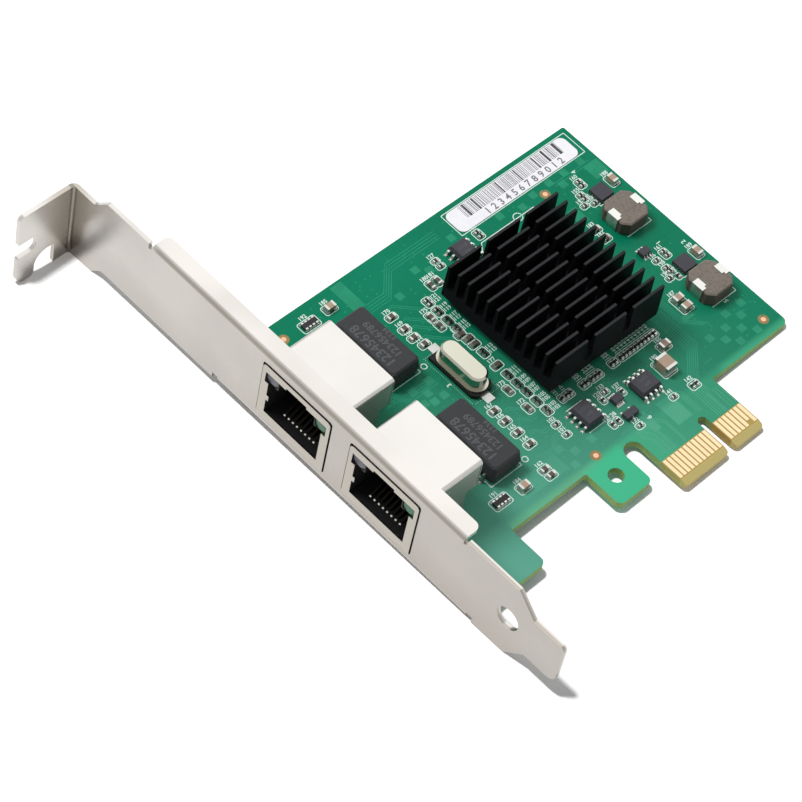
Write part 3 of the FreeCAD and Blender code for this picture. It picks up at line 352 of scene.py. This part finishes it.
def printed_finish(name, colour):
    """Ink that lies unevenly thin."""
    f = Finish(name, colour, 0.55)
    speckle = f.noise(5.0, 3.0)
    thinner = [c * 0.82 for c in colour]
    f.set("Base Color", f.mix(speckle.above(0.55, 0.25), colour, thinner))
    f.bump(speckle, 0.003)
    return f


def covered_copper(name, colour):
    """Copper seen through the mask, brighter over the connector."""
    f = Finish(name, colour, 0.3, Specular_IOR_Level=MASK_GLOSS)
    x, y, _ = f.axes()
    patch = f.noise(0.3, 2.0)
    deeper = [c * 0.8 for c in colour]
    copper = f.mix(patch.above(0.5, 0.3), colour, deeper)
    copper = f.mix(y.below(STRIP_TOP, 0.9) * 0.4, copper, (0.12, 0.50, 0.29))
    # Painted sheen towards the bracket's lower end, as on the mask.
    f.set("Base Color", misted(f, x, y, copper))
    f.bump(f.noise(1.5, 3.0), 0.004)
    return f


def contact_finish():
    """Plated spring contacts: a painted glint at their tips by the port, painted shade along the arm."""
    f = Finish("spring_contact", (0.1, 0.09, 0.07), 0.35, 1.0)
    x, _, _ = f.axes()
    fine = f.noise(5.0, 2.0)
    # Painted shade along the arm, which mirrors the dark inside of the port.
    dull = f.mix(fine, (0.004, 0.004, 0.003), (0.012, 0.011, 0.008))
    # Painted glint on the tips by the port.
    f.set("Base Color", f.mix(x.below(2.15, 0.1), dull, (0.70, 0.68, 0.60)))
    f.bump(fine, 0.004)
    return f


def sink_finish():
    """Black anodised aluminium, with a painted highlight in grey on the tops of the fins."""
    f = Finish("black_anodised", (0.006, 0.006, 0.007), 0.42, Specular_IOR_Level=0.04)
    _, _, z = f.axes()
    drawn = f.noise(0.8, 3.0, (0.05, 1, 6))
    # Painted highlight on the fin tops, which face the light.
    top = z.above(SINK_HIGH.z - 0.06, 0.03)
    top_streaks = f.noise(2.5, 2.0, (1, 6, 1))
    dark = f.mix(drawn, (0.003, 0.003, 0.004), (0.010, 0.010, 0.012))
    painted_light_tone = f.mix(top_streaks, (0.015, 0.016, 0.018), (0.05, 0.052, 0.056))
    f.set("Base Color", f.mix(top, dark, painted_light_tone))
    f.set("Roughness", drawn * 0.15 + 0.36 + top * 0.1)
    f.bump(drawn, 0.01)
    return f


GREEN_MASK = board_finish()
NICKEL = nickel_finish()
TIN = tin_finish()
SOLDER = metal_finish("solder", (0.50, 0.50, 0.48), roughness=0.34, grain=3.0, depth=0.02)
CLIP = metal_finish("tinned_clip", (0.60, 0.60, 0.57), roughness=0.36, grain=3.0, depth=0.02)
STEEL = metal_finish("screw_steel", (0.55, 0.55, 0.54), roughness=0.28, grain=5.0, depth=0.003)
CAN = metal_finish("pressed_steel_can", (0.46, 0.45, 0.375), roughness=0.24, grain=5.0, depth=0.003)
GOLD = metal_finish("gold_plate", (0.66, 0.52, 0.32), roughness=0.30, grain=5.0, depth=0.003)
CONTACT = contact_finish()
BLACK = moulded_finish("black_moulding", (0.010, 0.010, 0.010), roughness=0.5)
CHARCOAL = moulded_finish("charcoal_moulding", (0.036, 0.037, 0.040), roughness=0.6)
CHIP = moulded_finish("chip_moulding", (0.045, 0.045, 0.055), roughness=0.45)
FERRITE = ferrite_finish()
SMALL_CERAMIC = moulded_finish("small_capacitor_ceramic", (0.085, 0.072, 0.055), roughness=0.45)
CERAMIC = moulded_finish("capacitor_ceramic", (0.37, 0.275, 0.20), roughness=0.45)
RESISTOR = moulded_finish("resistor_glaze", (0.018, 0.018, 0.02), roughness=0.35)
CARRIER = moulded_finish("chip_carrier", (0.02, 0.10, 0.05), roughness=0.4)
PAD = moulded_finish("thermal_pad", (0.45, 0.47, 0.50), roughness=0.8)
PAPER = moulded_finish("label_paper", (0.80, 0.80, 0.84), roughness=0.6, grain=3.0, depth=0.006)
CLEAR_LIGHT = moulded_finish("clear_light_pipe", (0.14, 0.14, 0.17), roughness=0.25)
GREEN_LIGHT = moulded_finish("green_light_pipe", (0.07, 0.19, 0.11), roughness=0.25)
SINK = sink_finish()
WHITE_INK = printed_finish("white_ink", (0.78, 0.92, 0.85))
BLACK_INK = printed_finish("black_ink", (0.03, 0.03, 0.035))
GREY_INK = printed_finish("grey_ink", (0.20, 0.20, 0.21))
FAINT_INK = printed_finish("faint_ink", (0.066, 0.069, 0.075))
PALE_COPPER = covered_copper("copper_under_mask", (0.022, 0.30, 0.165))
TRACK = covered_copper("track_under_mask", (0.024, 0.31, 0.18))
BARE_COPPER = metal_finish("bare_copper", (0.66, 0.40, 0.26), roughness=0.4, grain=4.0, depth=0.003)
OPEN_MASK = printed_finish("open_mask_ring", (0.30, 0.20, 0.07))

# Finish of each CAD node: the first ending that its name has.
COVERS = (
    ("circuit_board", GREEN_MASK),
    ("edge_contacts", GOLD),
    ("bracket_screws", STEEL),
    ("bracket", NICKEL),
    ("_shield", TIN),
    ("_housing", BLACK),
    ("1_contacts", CONTACT),
    ("2_contacts", CONTACT),
    ("left_light", CLEAR_LIGHT),
    ("right_light", GREEN_LIGHT),
    ("transformer_1_body", CHARCOAL),
    ("transformer_2_body", CHARCOAL),
    ("chip_body", CHIP),
    ("regulator_1_body", CHIP),
    ("regulator_2_body", CHIP),
    ("package_bodies", CHIP),
    ("controller_cap", CHIP),
    ("controller_carrier", CARRIER),
    ("thermal_pad", PAD),
    ("heatsink", SINK),
    ("crystal_can", CAN),
    ("crystal_base", BLACK),
    ("_core", FERRITE),
    ("resistor_bodies", RESISTOR),
    ("network_bodies", RESISTOR),
    ("small_capacitor_bodies", SMALL_CERAMIC),
    ("capacitor_bodies", CERAMIC),
    ("label", PAPER),
    ("chip_leads", CLIP),
    ("_leads", SOLDER),
    ("_pads", SOLDER),
    ("_solder", SOLDER),
    ("_clips", CLIP),
    ("_ends", SOLDER),
)


def cover_nodes():
    """Gives every CAD node its finish."""
    for name, node in NODES.items():
        finish = next(f for ending, f in COVERS if name.endswith(ending))
        for slot in node.material_slots:
            slot.material = finish.material


# ---- meshes that carry a pattern -------------------------------------------------
def lines_mesh(paths, height):
    """Edges along open or closed paths: each path is (closed, points)."""
    verts = []
    edges = []
    for closed, points in paths:
        first = len(verts)
        verts += [(x, y, height) for x, y in points]
        last = len(verts) - 1
        edges += [(i, i + 1) for i in range(first, last)]
        if closed:
            edges.append((last, first))
    mesh = bpy.data.meshes.new("lines")
    mesh.from_pydata(verts, edges, [])
    return mesh


def points_mesh(places, sizes=None):
    """Loose points, each with a size of its own where sizes are given."""
    mesh = bpy.data.meshes.new("points")
    mesh.from_pydata(places, [], [])
    if sizes:
        attribute = mesh.attributes.new("size", "FLOAT_VECTOR", "POINT")
        for item, size in zip(attribute.data, sizes):
            item.vector = size
    return mesh


def ribbon_pattern():
    """Flat ribbon along every path, with its corners rounded."""
    p = Pattern("ribbon", ("Width", "Thickness", "Corner"))
    curve = p.node("GeometryNodeMeshToCurve", inputs={"Mesh": p.size("Geometry")})
    eased = p.node("GeometryNodeFilletCurve", {"mode": "POLY"},
                   {"Curve": curve, "Count": 3, "Radius": p.size("Corner"), "Limit Radius": True})
    level = p.node("GeometryNodeSetCurveNormal", {"mode": "Z_UP"}, {"Curve": eased})
    section = p.node("GeometryNodeCurvePrimitiveQuadrilateral",
                     inputs={"Width": p.size("Width"), "Height": p.size("Thickness")})
    p.end(p.node("GeometryNodeCurveToMesh",
                 inputs={"Curve": level, "Profile Curve": section, "Fill Caps": True}))
    return p


def dot_pattern():
    """Round dot on every point."""
    p = Pattern("dot", ("Radius", "Thickness"))
    disc = p.node("GeometryNodeMeshCylinder",
                  inputs={"Vertices": 12, "Radius": p.size("Radius"), "Depth": p.size("Thickness")})
    p.end(p.node("GeometryNodeInstanceOnPoints", inputs={"Points": p.size("Geometry"), "Instance": disc}))
    return p


def pad_pattern():
    """Low pad on every point, as large as the point's own size."""
    p = Pattern("pad", ())
    block = p.node("GeometryNodeMeshCube", inputs={"Size": (1, 1, 1)})
    size = p.node("GeometryNodeInputNamedAttribute", {"data_type": "FLOAT_VECTOR"}, {"Name": "size"})
    p.end(p.node("GeometryNodeInstanceOnPoints",
                 inputs={"Points": p.size("Geometry"), "Instance": block, "Scale": size}))
    return p


RIBBON = ribbon_pattern()
DOT = dot_pattern()
PAD_BLOCK = pad_pattern()


def ribbons(name, paths, finish, width, corner, height=0.0, thickness=INK_T):
    """One piece of flat ribbon along paths at one height."""
    sizes = {"Width": width, "Thickness": thickness, "Corner": corner}
    return RIBBON.make(name, lines_mesh(paths, height), finish, sizes)


def loose_pieces(node):
    """Boxes of the separate solids in a CAD node, in millimetres."""
    work = bmesh.new()
    work.from_mesh(NODES[node].data)
    bmesh.ops.remove_doubles(work, verts=work.verts, dist=1e-7)
    waiting = set(work.verts)
    boxes = []
    while waiting:
        front = [waiting.pop()]
        island = []
        while front:
            vert = front.pop()
            island.append(vert.co / MM)
            for edge in vert.link_edges:
                other = edge.other_vert(vert)
                if other in waiting:
                    waiting.remove(other)
                    front.append(other)
        low = Vector([min(v[i] for v in island) for i in range(3)])
        high = Vector([max(v[i] for v in island) for i in range(3)])
        boxes.append((low, high))
    work.free()
    return sorted(boxes, key=lambda b: tuple(b[0]))


def joined(boxes, reach):
    """Unions of boxes that come within reach of each other in plan."""
    groups = []
    for low, high in boxes:
        low, high = low.copy(), high.copy()
        kept = []
        for other_low, other_high in groups:
            apart = max(max(low[i] - other_high[i], other_low[i] - high[i]) for i in (0, 1))
            if apart > reach:
                kept.append((other_low, other_high))
            else:
                low = Vector(map(min, low, other_low))
                high = Vector(map(max, high, other_high))
        groups = kept + [(low, high)]
    return groups


def outline(low, high, margin):
    """Closed path round a box."""
    x0, y0 = low.x - margin, low.y - margin
    x1, y1 = high.x + margin, high.y + margin
    return True, [(x0, y0), (x1, y0), (x1, y1), (x0, y1)]


def circle(x, y, radius):
    """Closed round path."""
    steps = 16
    turns = [2 * math.pi * i / steps for i in range(steps)]
    return True, [(x + radius * math.cos(t), y + radius * math.sin(t)) for t in turns]


def dotted(x0, x1, y0, y1, pitch):
    """Points along a rectangle."""
    across = int((x1 - x0) / pitch)
    along = int((y1 - y0) / pitch)
    points = [(x0 + pitch * i, y, 0) for i in range(across + 1) for y in (y0, y1)]
    points += [(x, y0 + pitch * i, 0) for i in range(along + 1) for x in (x0, x1)]
    return points


def parallel(points, count, pitch, step):
    """Copies of a path, each moved on by the pitch along the step."""
    return [(False, [(x + step[0] * pitch * i, y + step[1] * pitch * i) for x, y in points])
            for i in range(count)]


# ---- lettering: plain counting numbers only --------------------------------------
def written(entries, height):
    """One flat mesh of numbers; each entry is (text, x, y, size, turn in degrees)."""
    work = bmesh.new()
    for text, x, y, size, turn in entries:
        curve = bpy.data.curves.new("number", "FONT")
        curve.body = text
        curve.size = size
        curve.align_x = "CENTER"
        curve.align_y = "CENTER"
        curve.extrude = LETTER_DEPTH
        curve.offset = 0.02 * size    # a stroke a little bolder than the font's
        curve.resolution_u = 2
        letters = bpy.data.objects.new("number", curve)
        bpy.context.scene.collection.objects.link(letters)
        bpy.context.view_layer.update()
        shaped = letters.evaluated_get(bpy.context.evaluated_depsgraph_get())
        mesh = bpy.data.meshes.new_from_object(shaped)
        mesh.transform(Matrix.Translation((x, y, height)) @ Matrix.Rotation(math.radians(turn), 4, "Z"))
        work.from_mesh(mesh)
        bpy.data.objects.remove(letters)
        bpy.data.meshes.remove(mesh)
    mesh = bpy.data.meshes.new("numbers")
    work.to_mesh(mesh)
    work.free()
    return mesh


# ---- board surface ---------------------------------------------------------------
# Chip parts that stand within this reach of each other share one printed outline.
SHARED_OUTLINE = {"resistor": 0.5, "small_capacitor": 0.3, "medium_capacitor": 0.9,
                  "large_capacitor": 0.3, "resistor_network": 0.4}
RESISTOR_COLUMN_X = 38.2   # pairs beside the heatsink, one above the other
RESISTOR_ROW_Y = 25.8      # row below the heatsink
RESISTOR_PITCH = 0.95
# How much larger a pad is than the metal on it, by the ending of the node's name.
PAD_MARGINS = {"_ends": 0.22, "chip_leads": 0.16, "package_leads": 0.16, "_1_leads": 0.16,
               "_2_leads": 0.16}


def chip_groups():
    """Boxes of the chip parts with their ends, one for each printed outline."""
    groups = {}
    for kind, reach in SHARED_OUTLINE.items():
        boxes = loose_pieces(kind + "_bodies") + loose_pieces(kind + "_ends")
        whole_parts = joined(boxes, 0.05)
        groups[kind] = joined(whole_parts, reach)
    return groups


def solder_pads():
    """Tinned pads under the metal ends and the leads of everything on the board."""
    places = []
    sizes = []
    for node in NODES:
        margins = [margin for ending, margin in PAD_MARGINS.items() if node.endswith(ending)]
        if not margins:
            continue
        for low, high in loose_pieces(node):
            middle = (low + high) / 2
            places.append((middle.x, middle.y, 0.0))
            sizes.append((high.x - low.x + margins[0], high.y - low.y + margins[0], PAD_T))
    return PAD_BLOCK.make("solder_pads", points_mesh(places, sizes), SOLDER, {})


def printed_outlines(groups):
    """White outlines round the small parts, with rounded corners."""
    margin = 0.42
    paths = [outline(low, high, margin) for boxes in groups.values() for low, high in boxes]
    ribbons("printed_outlines", paths, WHITE_INK, width=0.16, corner=0.45)


def printed_marks():
    """Frames, corner marks and pin-one circles of the larger parts."""
    round_label = outline(Vector((53.5, 62.3, 0.0)), Vector((85.2, 67.85, 0.0)), 0.0)
    paths = [round_label]
    for name in ("transformer_1_body", "transformer_2_body"):
        low, high = box_mm(name)
        paths.append(outline(low, high, 0.12))
        paths.append(circle(high.x + 1.4, low.y + 0.35, 0.55))
    for name in ("inductor_1_core", "inductor_2_core"):
        low, high = box_mm(name)
        paths.append((False, [(low.x + 0.9, low.y - 0.2), (high.x + 0.2, low.y - 0.2),
                              (high.x + 0.2, low.y + 0.6)]))
    for name in ("regulator_1_body", "regulator_2_body"):
        low, high = box_mm(name)
        paths.append((False, [(low.x - 0.5, high.y), (low.x - 0.5, low.y - 0.4),
                              (low.x + 0.3, low.y - 0.4)]))
    over_sink = SINK_HIGH.y + 4.5
    paths.append((False, [(53.7, over_sink - 1.7), (55.1, over_sink), (68.5, over_sink)]))
    paths.append(circle(64.5, over_sink + 0.1, 0.9))
    low, high = box_mm("memory_chip_body")
    paths.append((False, [(low.x, low.y - 0.4), (high.x, low.y - 0.4)]))
    paths.append((False, [(low.x, high.y + 0.4), (high.x, high.y + 0.4)]))
    ribbons("printed_marks", paths, WHITE_INK, width=0.17, corner=0.12)
    low, high = box_mm("crystal_base")
    dots = dotted(low.x - 0.5, high.x + 0.5, low.y - 0.5, high.y + 0.5, 0.4)
    DOT.make("printed_dots", points_mesh(dots), WHITE_INK, {"Radius": 0.06, "Thickness": INK_T})


def printed_numbers(groups):
    """Small counting numbers beside the parts."""
    entries = []
    for kind, boxes in groups.items():
        for low, high in boxes:
            middle = (low + high) / 2
            number = str(len(entries) + 101)
            if kind == "resistor" and abs(middle.x - RESISTOR_COLUMN_X) < 0.5:
                entries.append((number, high.x + 1.3, middle.y + 0.45, 1.1, 0))
                entries.append((number, high.x + 1.3, middle.y - 0.55, 1.1, 0))
            elif kind == "resistor" and abs(middle.y - RESISTOR_ROW_Y) < 0.5:
                count = max(1, round((high.x - low.x) / RESISTOR_PITCH))
                for i in range(count):
                    x = low.x + (high.x - low.x) * (i + 0.5) / count
                    entries.append((number, x, high.y + 1.3, 1.0, 90))
            else:
                entries.append((number, middle.x, high.y + 1.0, 1.15, 0))
    single_marks = ((80.6, 39.3), (84.4, 36.6), (28.6, 40.4), (80.1, 60.2), (80.7, 22.6), (51.3, 13.8))
    for count, (x, y) in enumerate(single_marks, 1):
        entries.append((str(count), x, y, 1.3, 90))
    finished("printed_numbers", written(entries, 2 * LETTER_DEPTH), WHITE_INK)


def tracks():
    """Copper tracks that show through the mask."""
    start = TRACK_START
    paths = []
    for y in (58.7, 55.3, 53.1, 50.4):
        paths += parallel([(31.8, y), (32.4, y), (36.2, y - 3.8)], 2, 0.45, (0.7, 0.7))
    for y in (24.2, 27.4, 30.2):
        paths += parallel([(32.4, y), (33.4, y), (34.6, y - 1.2), (36.0, y - 1.2)], 2, 0.5, (0, 1))
    paths += parallel([(67.0, 28.5), (67.0, 19.5), (61.2, 13.7), (61.2, start)], 6, 0.52, (1, 0))
    for x in (48.1, 49.1, 50.1):
        jog = 10.4 + (x - 48.1) * 0.6
        paths += parallel([(x, start), (x, jog), (x - 1.0, jog + 1.0), (x - 1.0, 13.4)], 2, 0.35, (1, 0))
    paths += parallel([(58.9, 9.0), (58.9, 14.0), (57.6, 15.3)], 3, 0.4, (1, 0))
    paths += parallel([(63.0, start), (63.0, 11.0)], 5, 0.7, (1, 0))
    paths += parallel([(44.6, 14.2), (49.8, 14.2), (52.6, 11.4), (52.6, start)], 2, 0.45, (0.7, 0.7))
    paths += parallel([(30.2, 20.0), (33.4, 20.0), (35.0, 21.6), (38.0, 21.6)], 3, 0.5, (0, -1))
    paths += parallel([(70.5, 30.0), (70.5, 24.5), (73.6, 21.4)], 3, 0.5, (1, 0))
    paths += parallel([(40.9, 47.0), (40.9, 31.0)], 3, 0.35, (0.6, 0))
    paths += parallel([(28.8, 60.0), (33.5, 60.0), (38.0, 64.5), (50.0, 64.5)], 4, 0.6, (0, 1))
    paths += parallel([(16.5, 45.2), (19.4, 45.2), (21.0, 43.6), (27.5, 43.6)], 4, 0.55, (0, -1))
    paths += parallel([(75.0, 60.5), (84.5, 60.5)], 2, 0.6, (0, -1))
    ribbons("tracks", paths, TRACK, width=0.16, corner=0.2, thickness=TRACK_T)


def copper_areas():
    """Squares and areas of copper that show paler through the mask."""
    side = 1.5
    squares = (
        (34, 19), (36, 17), (34, 15), (40, 17), (62, 61.3), (70.3, 61), (74.6, 61.2), (78.5, 61.2),
        (82.8, 61.2), (78.5, 20.7), (82.5, 20.7), (80.5, 18.8), (72.2, 18.8), (76.2, 18.6), (78.5, 16.8),
        (74.3, 16.8), (80.5, 14.8), (76.2, 14.9), (24.5, 41.5), (24.2, 39.5), (26.5, 39.5), (26.4, 43.4),
        (35.2, 59.5), (41.4, 62.0), (43.4, 60.4), (51.6, 63.2), (66.8, 60.2), (22.6, 43.4), (22.4, 40.2),
    )
    places = [(x, y, 0) for x, y in squares]
    sizes = [(side, side, SQUARE_T)] * len(squares)
    areas = (
        (27.4, 17.0, 10.4, 3.6), (84.0, 58.2, 3.4, 3.6), (27.9, 65.2, 2.6, 6.4), (76.5, 59.4, 1.6, 1.6),
        (72.6, 24.6, 2.6, 1.2), (73.4, 52.6, 2.2, 3.6), (50.6, 13.2, 1.6, 4.4), (55.9, 12.2, 3.6, 5.6),
    )
    places += [(x, y, 0) for x, y, _, _ in areas]
    sizes += [(width, height, AREA_T) for _, _, width, height in areas]
    PAD_BLOCK.make("copper_areas", points_mesh(places, sizes), PALE_COPPER, {})


def underside():
    """Tracks, copper squares and test points on the back of the board."""
    start = TRACK_START + 0.2
    side = 1.3
    paths = []
    for x in (47.5, 51.5, 56.0):
        paths += parallel([(x, start), (x, 12.0), (x - 4.0, 16.0), (x - 4.0, 30.0)], 4, 0.6, (1, 0))
    paths += parallel([(63.0, start), (63.0, 14.0), (70.0, 21.0), (70.0, 52.0)], 6, 0.6, (1, 0))
    paths += parallel([(26.0, 30.0), (40.0, 30.0), (46.0, 36.0), (46.0, 55.0)], 5, 0.7, (-0.7, 0.7))
    paths += parallel([(26.0, 56.0), (38.0, 56.0), (40.0, 54.0), (41.5, 54.0)], 5, 0.7, (0, -1))
    ribbons("back_tracks", paths, TRACK, width=0.2, corner=0.3, height=-BOARD_T, thickness=TRACK_T)
    places = [(x, y, -BOARD_T) for x in range(76, 85, 2) for y in range(18, 28, 2)]
    places += [(x, y, -BOARD_T) for x in range(50, 68, 2) for y in (62, 64, 66)]
    sizes = [(side, side, SQUARE_T)] * len(places)
    PAD_BLOCK.make("back_squares", points_mesh(places, sizes), PALE_COPPER, {})
    places = [(52.0 + 2.54 * i, 56.0, -BOARD_T) for i in range(5)]
    places += [(x, y, -BOARD_T) for x in (24.0, 27.0) for y in (22.0, 38.0, 48.0)]
    DOT.make("test_points", points_mesh(places), SOLDER, {"Radius": 0.5, "Thickness": PAD_T})


def clear_of_parts(x, y, boxes):
    """Whether a place stands off every box in plan."""
    gap = 0.5
    return all(x < low.x - gap or x > high.x + gap or y < low.y - gap or y > high.y + gap
               for low, high in boxes)


def vias(groups):
    """Tented vias strewn between the parts, on a grid."""
    count = 230
    grid = 0.6
    boxes = [box for part in groups.values() for box in part]
    boxes += [box_mm(name) for name in NODES if name.endswith(("_body", "_core", "_shield"))]
    boxes += [(SINK_LOW, SINK_HIGH), (LABEL_LOW, LABEL_HIGH), box_mm("crystal_base")]
    places = []
    while len(places) < count:
        x = seeded.uniform(BOARD_LOW.x + 15, BOARD_HIGH.x - 1)
        y = seeded.uniform(STRIP_TOP, BOARD_HIGH.y - 1)
        x, y = round(x / grid) * grid, round(y / grid) * grid
        place = (x, y, -BOARD_T / 2)
        if place not in places and clear_of_parts(x, y, boxes):
            places.append(place)
    DOT.make("vias", points_mesh(places), TRACK, {"Radius": 0.2, "Thickness": BOARD_T + 0.03})
    DOT.make("via_holes", points_mesh(places), GREEN_MASK, {"Radius": 0.09, "Thickness": BOARD_T + 0.04})


def fiducials():
    """Bare copper dots in rings of open mask, for the placing machine."""
    places = [(12.8, 65.3, 0), (38.1, 14.1, 0), (83.0, 15.6, 0), (72.2, 59.8, 0)]
    DOT.make("fiducial_rings", points_mesh(places), OPEN_MASK, {"Radius": 1.05, "Thickness": INK_T})
    DOT.make("fiducial_dots", points_mesh(places), BARE_COPPER, {"Radius": 0.5, "Thickness": PAD_T})


# ---- label and package printing --------------------------------------------------
def label_printing():
    """Plain bars and a row of counting digits."""
    top = LABEL_HIGH.z
    bottom = LABEL_LOW.y + 2.05
    height = LABEL_HIGH.y - 0.15 - bottom
    middle = bottom + height / 2
    places = []
    sizes = []
    x = 57.2
    bars_end = 82.2
    while x < bars_end:
        width = seeded.choice((0.09, 0.13, 0.18))
        places.append((x, middle, top))
        sizes.append((width, height, THIN_INK_T))
        x += width + seeded.choice((0.16, 0.22, 0.3))
    PAD_BLOCK.make("label_fine_bars", points_mesh(places, sizes), GREY_INK, {})
    bold = ((58.2, 0.45), (60.5, 0.3), (66.7, 0.3), (71.3, 0.25),
            (76.0, 0.2), (78.5, 0.4), (79.8, 0.2), (81.5, 0.5))
    places = [(x, middle, top) for x, _ in bold]
    sizes = [(width, height, INK_T) for _, width in bold]
    PAD_BLOCK.make("label_bold_bars", points_mesh(places, sizes), BLACK_INK, {})
    entries = [(digit, 61.2 + 1.72 * i, 63.45, 2.05, 0) for i, digit in enumerate("123456789012")]
    finished("label_digits", written(entries, top + LETTER_DEPTH), GREY_INK)


def package_marks():
    """Counting digits printed on the mouldings."""
    raised = 0.002
    entries = []
    for name in ("transformer_1_body", "transformer_2_body"):
        low, high = box_mm(name)
        middle = (low + high) / 2
        for text, x, size in (("12345678", -1.4, 2.6), ("123456789", 0.9, 2.0), ("1234", 2.6, 1.5)):
            entries.append((text, middle.x + x, middle.y - 0.3, size, 90))
    finished("transformer_marks", written(entries, high.z + raised), FAINT_INK)
    entries = []
    for name in ("memory_chip_body", "supervisor_chip_body", "power_chip_body"):
        low, high = box_mm(name)
        middle = (low + high) / 2
        entries.append(("12345", middle.x, middle.y + 0.7, 0.9, 0))
        entries.append(("678", middle.x, middle.y - 0.6, 0.9, 0))
    finished("chip_marks", written(entries, high.z + raised), FAINT_INK)


# ---- studio ----------------------------------------------------------------------
# Sizes and places of the table, lamps and camera are in metres.
TABLE_RADIUS = 0.20
TABLE_GLOW = 0.03          # lifts the table's white to paper white
WORLD_LIGHT = 0.3
CARD_MIDDLE = Vector((0.04, 0.045, 0.0))
LENS_MM = 150.9
CAMERA_PLACE = Vector((-259.27, -153.40, 460.22)) * MM
CAMERA_RIGHT = Vector((0.71139, -0.68937, 0.13672))
CAMERA_UP = Vector((0.50678, 0.63797, 0.57980))


def rest_plane():
    """Matrix of the plane that the card rests on: ear, bracket's lower end and board corner."""
    sheet_low = -3.95
    ear = Vector((-12.0, 106.5, BRACKET_LOW.z))
    end = Vector((0.0, -2.0, sheet_low))
    corner = Vector((BOARD_HIGH.x, 12.5, -BOARD_T))
    normal = (corner - end).cross(ear - end).normalized()
    turn = normal.to_track_quat("Z", "Y").to_matrix().to_4x4()
    return Matrix.Translation(end * MM) @ turn


def white_for(wiring, dim, white):
    """Shader that looks white to the camera and to gloss, and dim to everything else."""
    path = wiring.tree.nodes.new("ShaderNodeLightPath")
    seen = Value(wiring, path.outputs["Is Camera Ray"]) + Value(wiring, path.outputs["Is Glossy Ray"])
    seen = seen + Value(wiring, path.outputs["Is Transmission Ray"])
    return wiring.node("ShaderNodeMixShader", inputs={0: seen.math("MINIMUM", seen, 1.0), 1: dim, 2: white})


def floor():
    """Pale table that keeps the card's shadow."""
    work = bmesh.new()
    bmesh.ops.create_circle(work, cap_ends=True, radius=TABLE_RADIUS, segments=96)
    mesh = bpy.data.meshes.new("table")
    work.to_mesh(mesh)
    work.free()
    mesh.transform(rest_plane())
    material = bpy.data.materials.new("table_white")
    material.use_nodes = True
    w = Wiring(material.node_tree)
    material.node_tree.nodes.remove(material.node_tree.nodes["Principled BSDF"])
    matt = w.node("ShaderNodeBsdfDiffuse", inputs={"Color": (0.85, 0.85, 0.85, 1)})
    white = w.node("ShaderNodeBsdfDiffuse", inputs={"Color": (0.98, 0.98, 0.98, 1)})
    glow = w.node("ShaderNodeEmission", inputs={"Color": (1, 1, 1, 1), "Strength": 1.0})
    lifted = w.node("ShaderNodeMixShader", inputs={0: TABLE_GLOW, 1: white, 2: glow})
    w.feed(material.node_tree.nodes["Material Output"].inputs["Surface"], white_for(w, matt, lifted))
    mesh.materials.append(material)
    table = bpy.data.objects.new("table", mesh)
    bpy.context.scene.collection.objects.link(table)
    return table


def lamp(name, place, size, power, mirrored=True):
    """Soft round lamp that looks at the card's middle; a mirrored one shows in metal."""
    light = bpy.data.lights.new(name, "AREA")
    light.shape = "DISK"
    light.size = size
    light.energy = power
    holder = bpy.data.objects.new(name, light)
    holder.visible_glossy = mirrored
    spot = CARD_MIDDLE + Vector(place)
    turn = (spot - CARD_MIDDLE).to_track_quat("Z", "Y").to_matrix().to_4x4()
    holder.matrix_world = Matrix.Translation(spot) @ turn
    bpy.context.scene.collection.objects.link(holder)
    return holder


def keep_to(light, table, state):
    """Lets a lamp light only the table (INCLUDE) or everything but the table (EXCLUDE)."""
    lit = bpy.data.collections.new(light.name + "_lit")
    lit.objects.link(table)
    lit.collection_objects[0].light_linking.link_state = state
    light.light_linking.receiver_collection = lit


def lighting(table):
    """World and lamps."""
    world = bpy.data.worlds.new("studio")
    bpy.context.scene.world = world
    world.use_nodes = True
    w = Wiring(world.node_tree)
    world.node_tree.nodes.remove(world.node_tree.nodes["Background"])
    dim = w.node("ShaderNodeBackground", inputs={"Color": (1, 1, 1, 1), "Strength": WORLD_LIGHT})
    white = w.node("ShaderNodeBackground", inputs={"Color": (1, 1, 1, 1), "Strength": 1.0})
    w.feed(world.node_tree.nodes["World Output"].inputs["Surface"], white_for(w, dim, white))
    softbox = lamp("softbox", (0.49, 0.34, 0.80), size=1.2, power=2.75)
    keep_to(softbox, table, "EXCLUDE")
    overhead = lamp("overhead", (-0.25, 0.55, 0.80), size=0.4, power=7.4, mirrored=False)
    keep_to(overhead, table, "EXCLUDE")
    table_lamp = lamp("table_lamp", (-0.24, 0.18, 0.95), size=0.10, power=10.0, mirrored=False)
    keep_to(table_lamp, table, "INCLUDE")


def viewpoint():
    """Camera and plain view."""
    lens = bpy.data.cameras.new("camera")
    lens.sensor_width = 36.0
    lens.lens = LENS_MM
    camera = bpy.data.objects.new("camera", lens)
    back = CAMERA_RIGHT.cross(CAMERA_UP)
    turn = Matrix((CAMERA_RIGHT, CAMERA_UP, back)).transposed().to_4x4()
    camera.matrix_world = Matrix.Translation(CAMERA_PLACE) @ turn
    bpy.context.scene.collection.objects.link(camera)
    bpy.context.scene.camera = camera
    bpy.context.scene.view_settings.view_transform = "Standard"


cover_nodes()
parts = chip_groups()
solder_pads()
printed_outlines(parts)
printed_marks()
printed_numbers(parts)
tracks()
copper_areas()
underside()
vias(parts)
fiducials()
label_printing()
package_marks()
lighting(floor())
viewpoint()
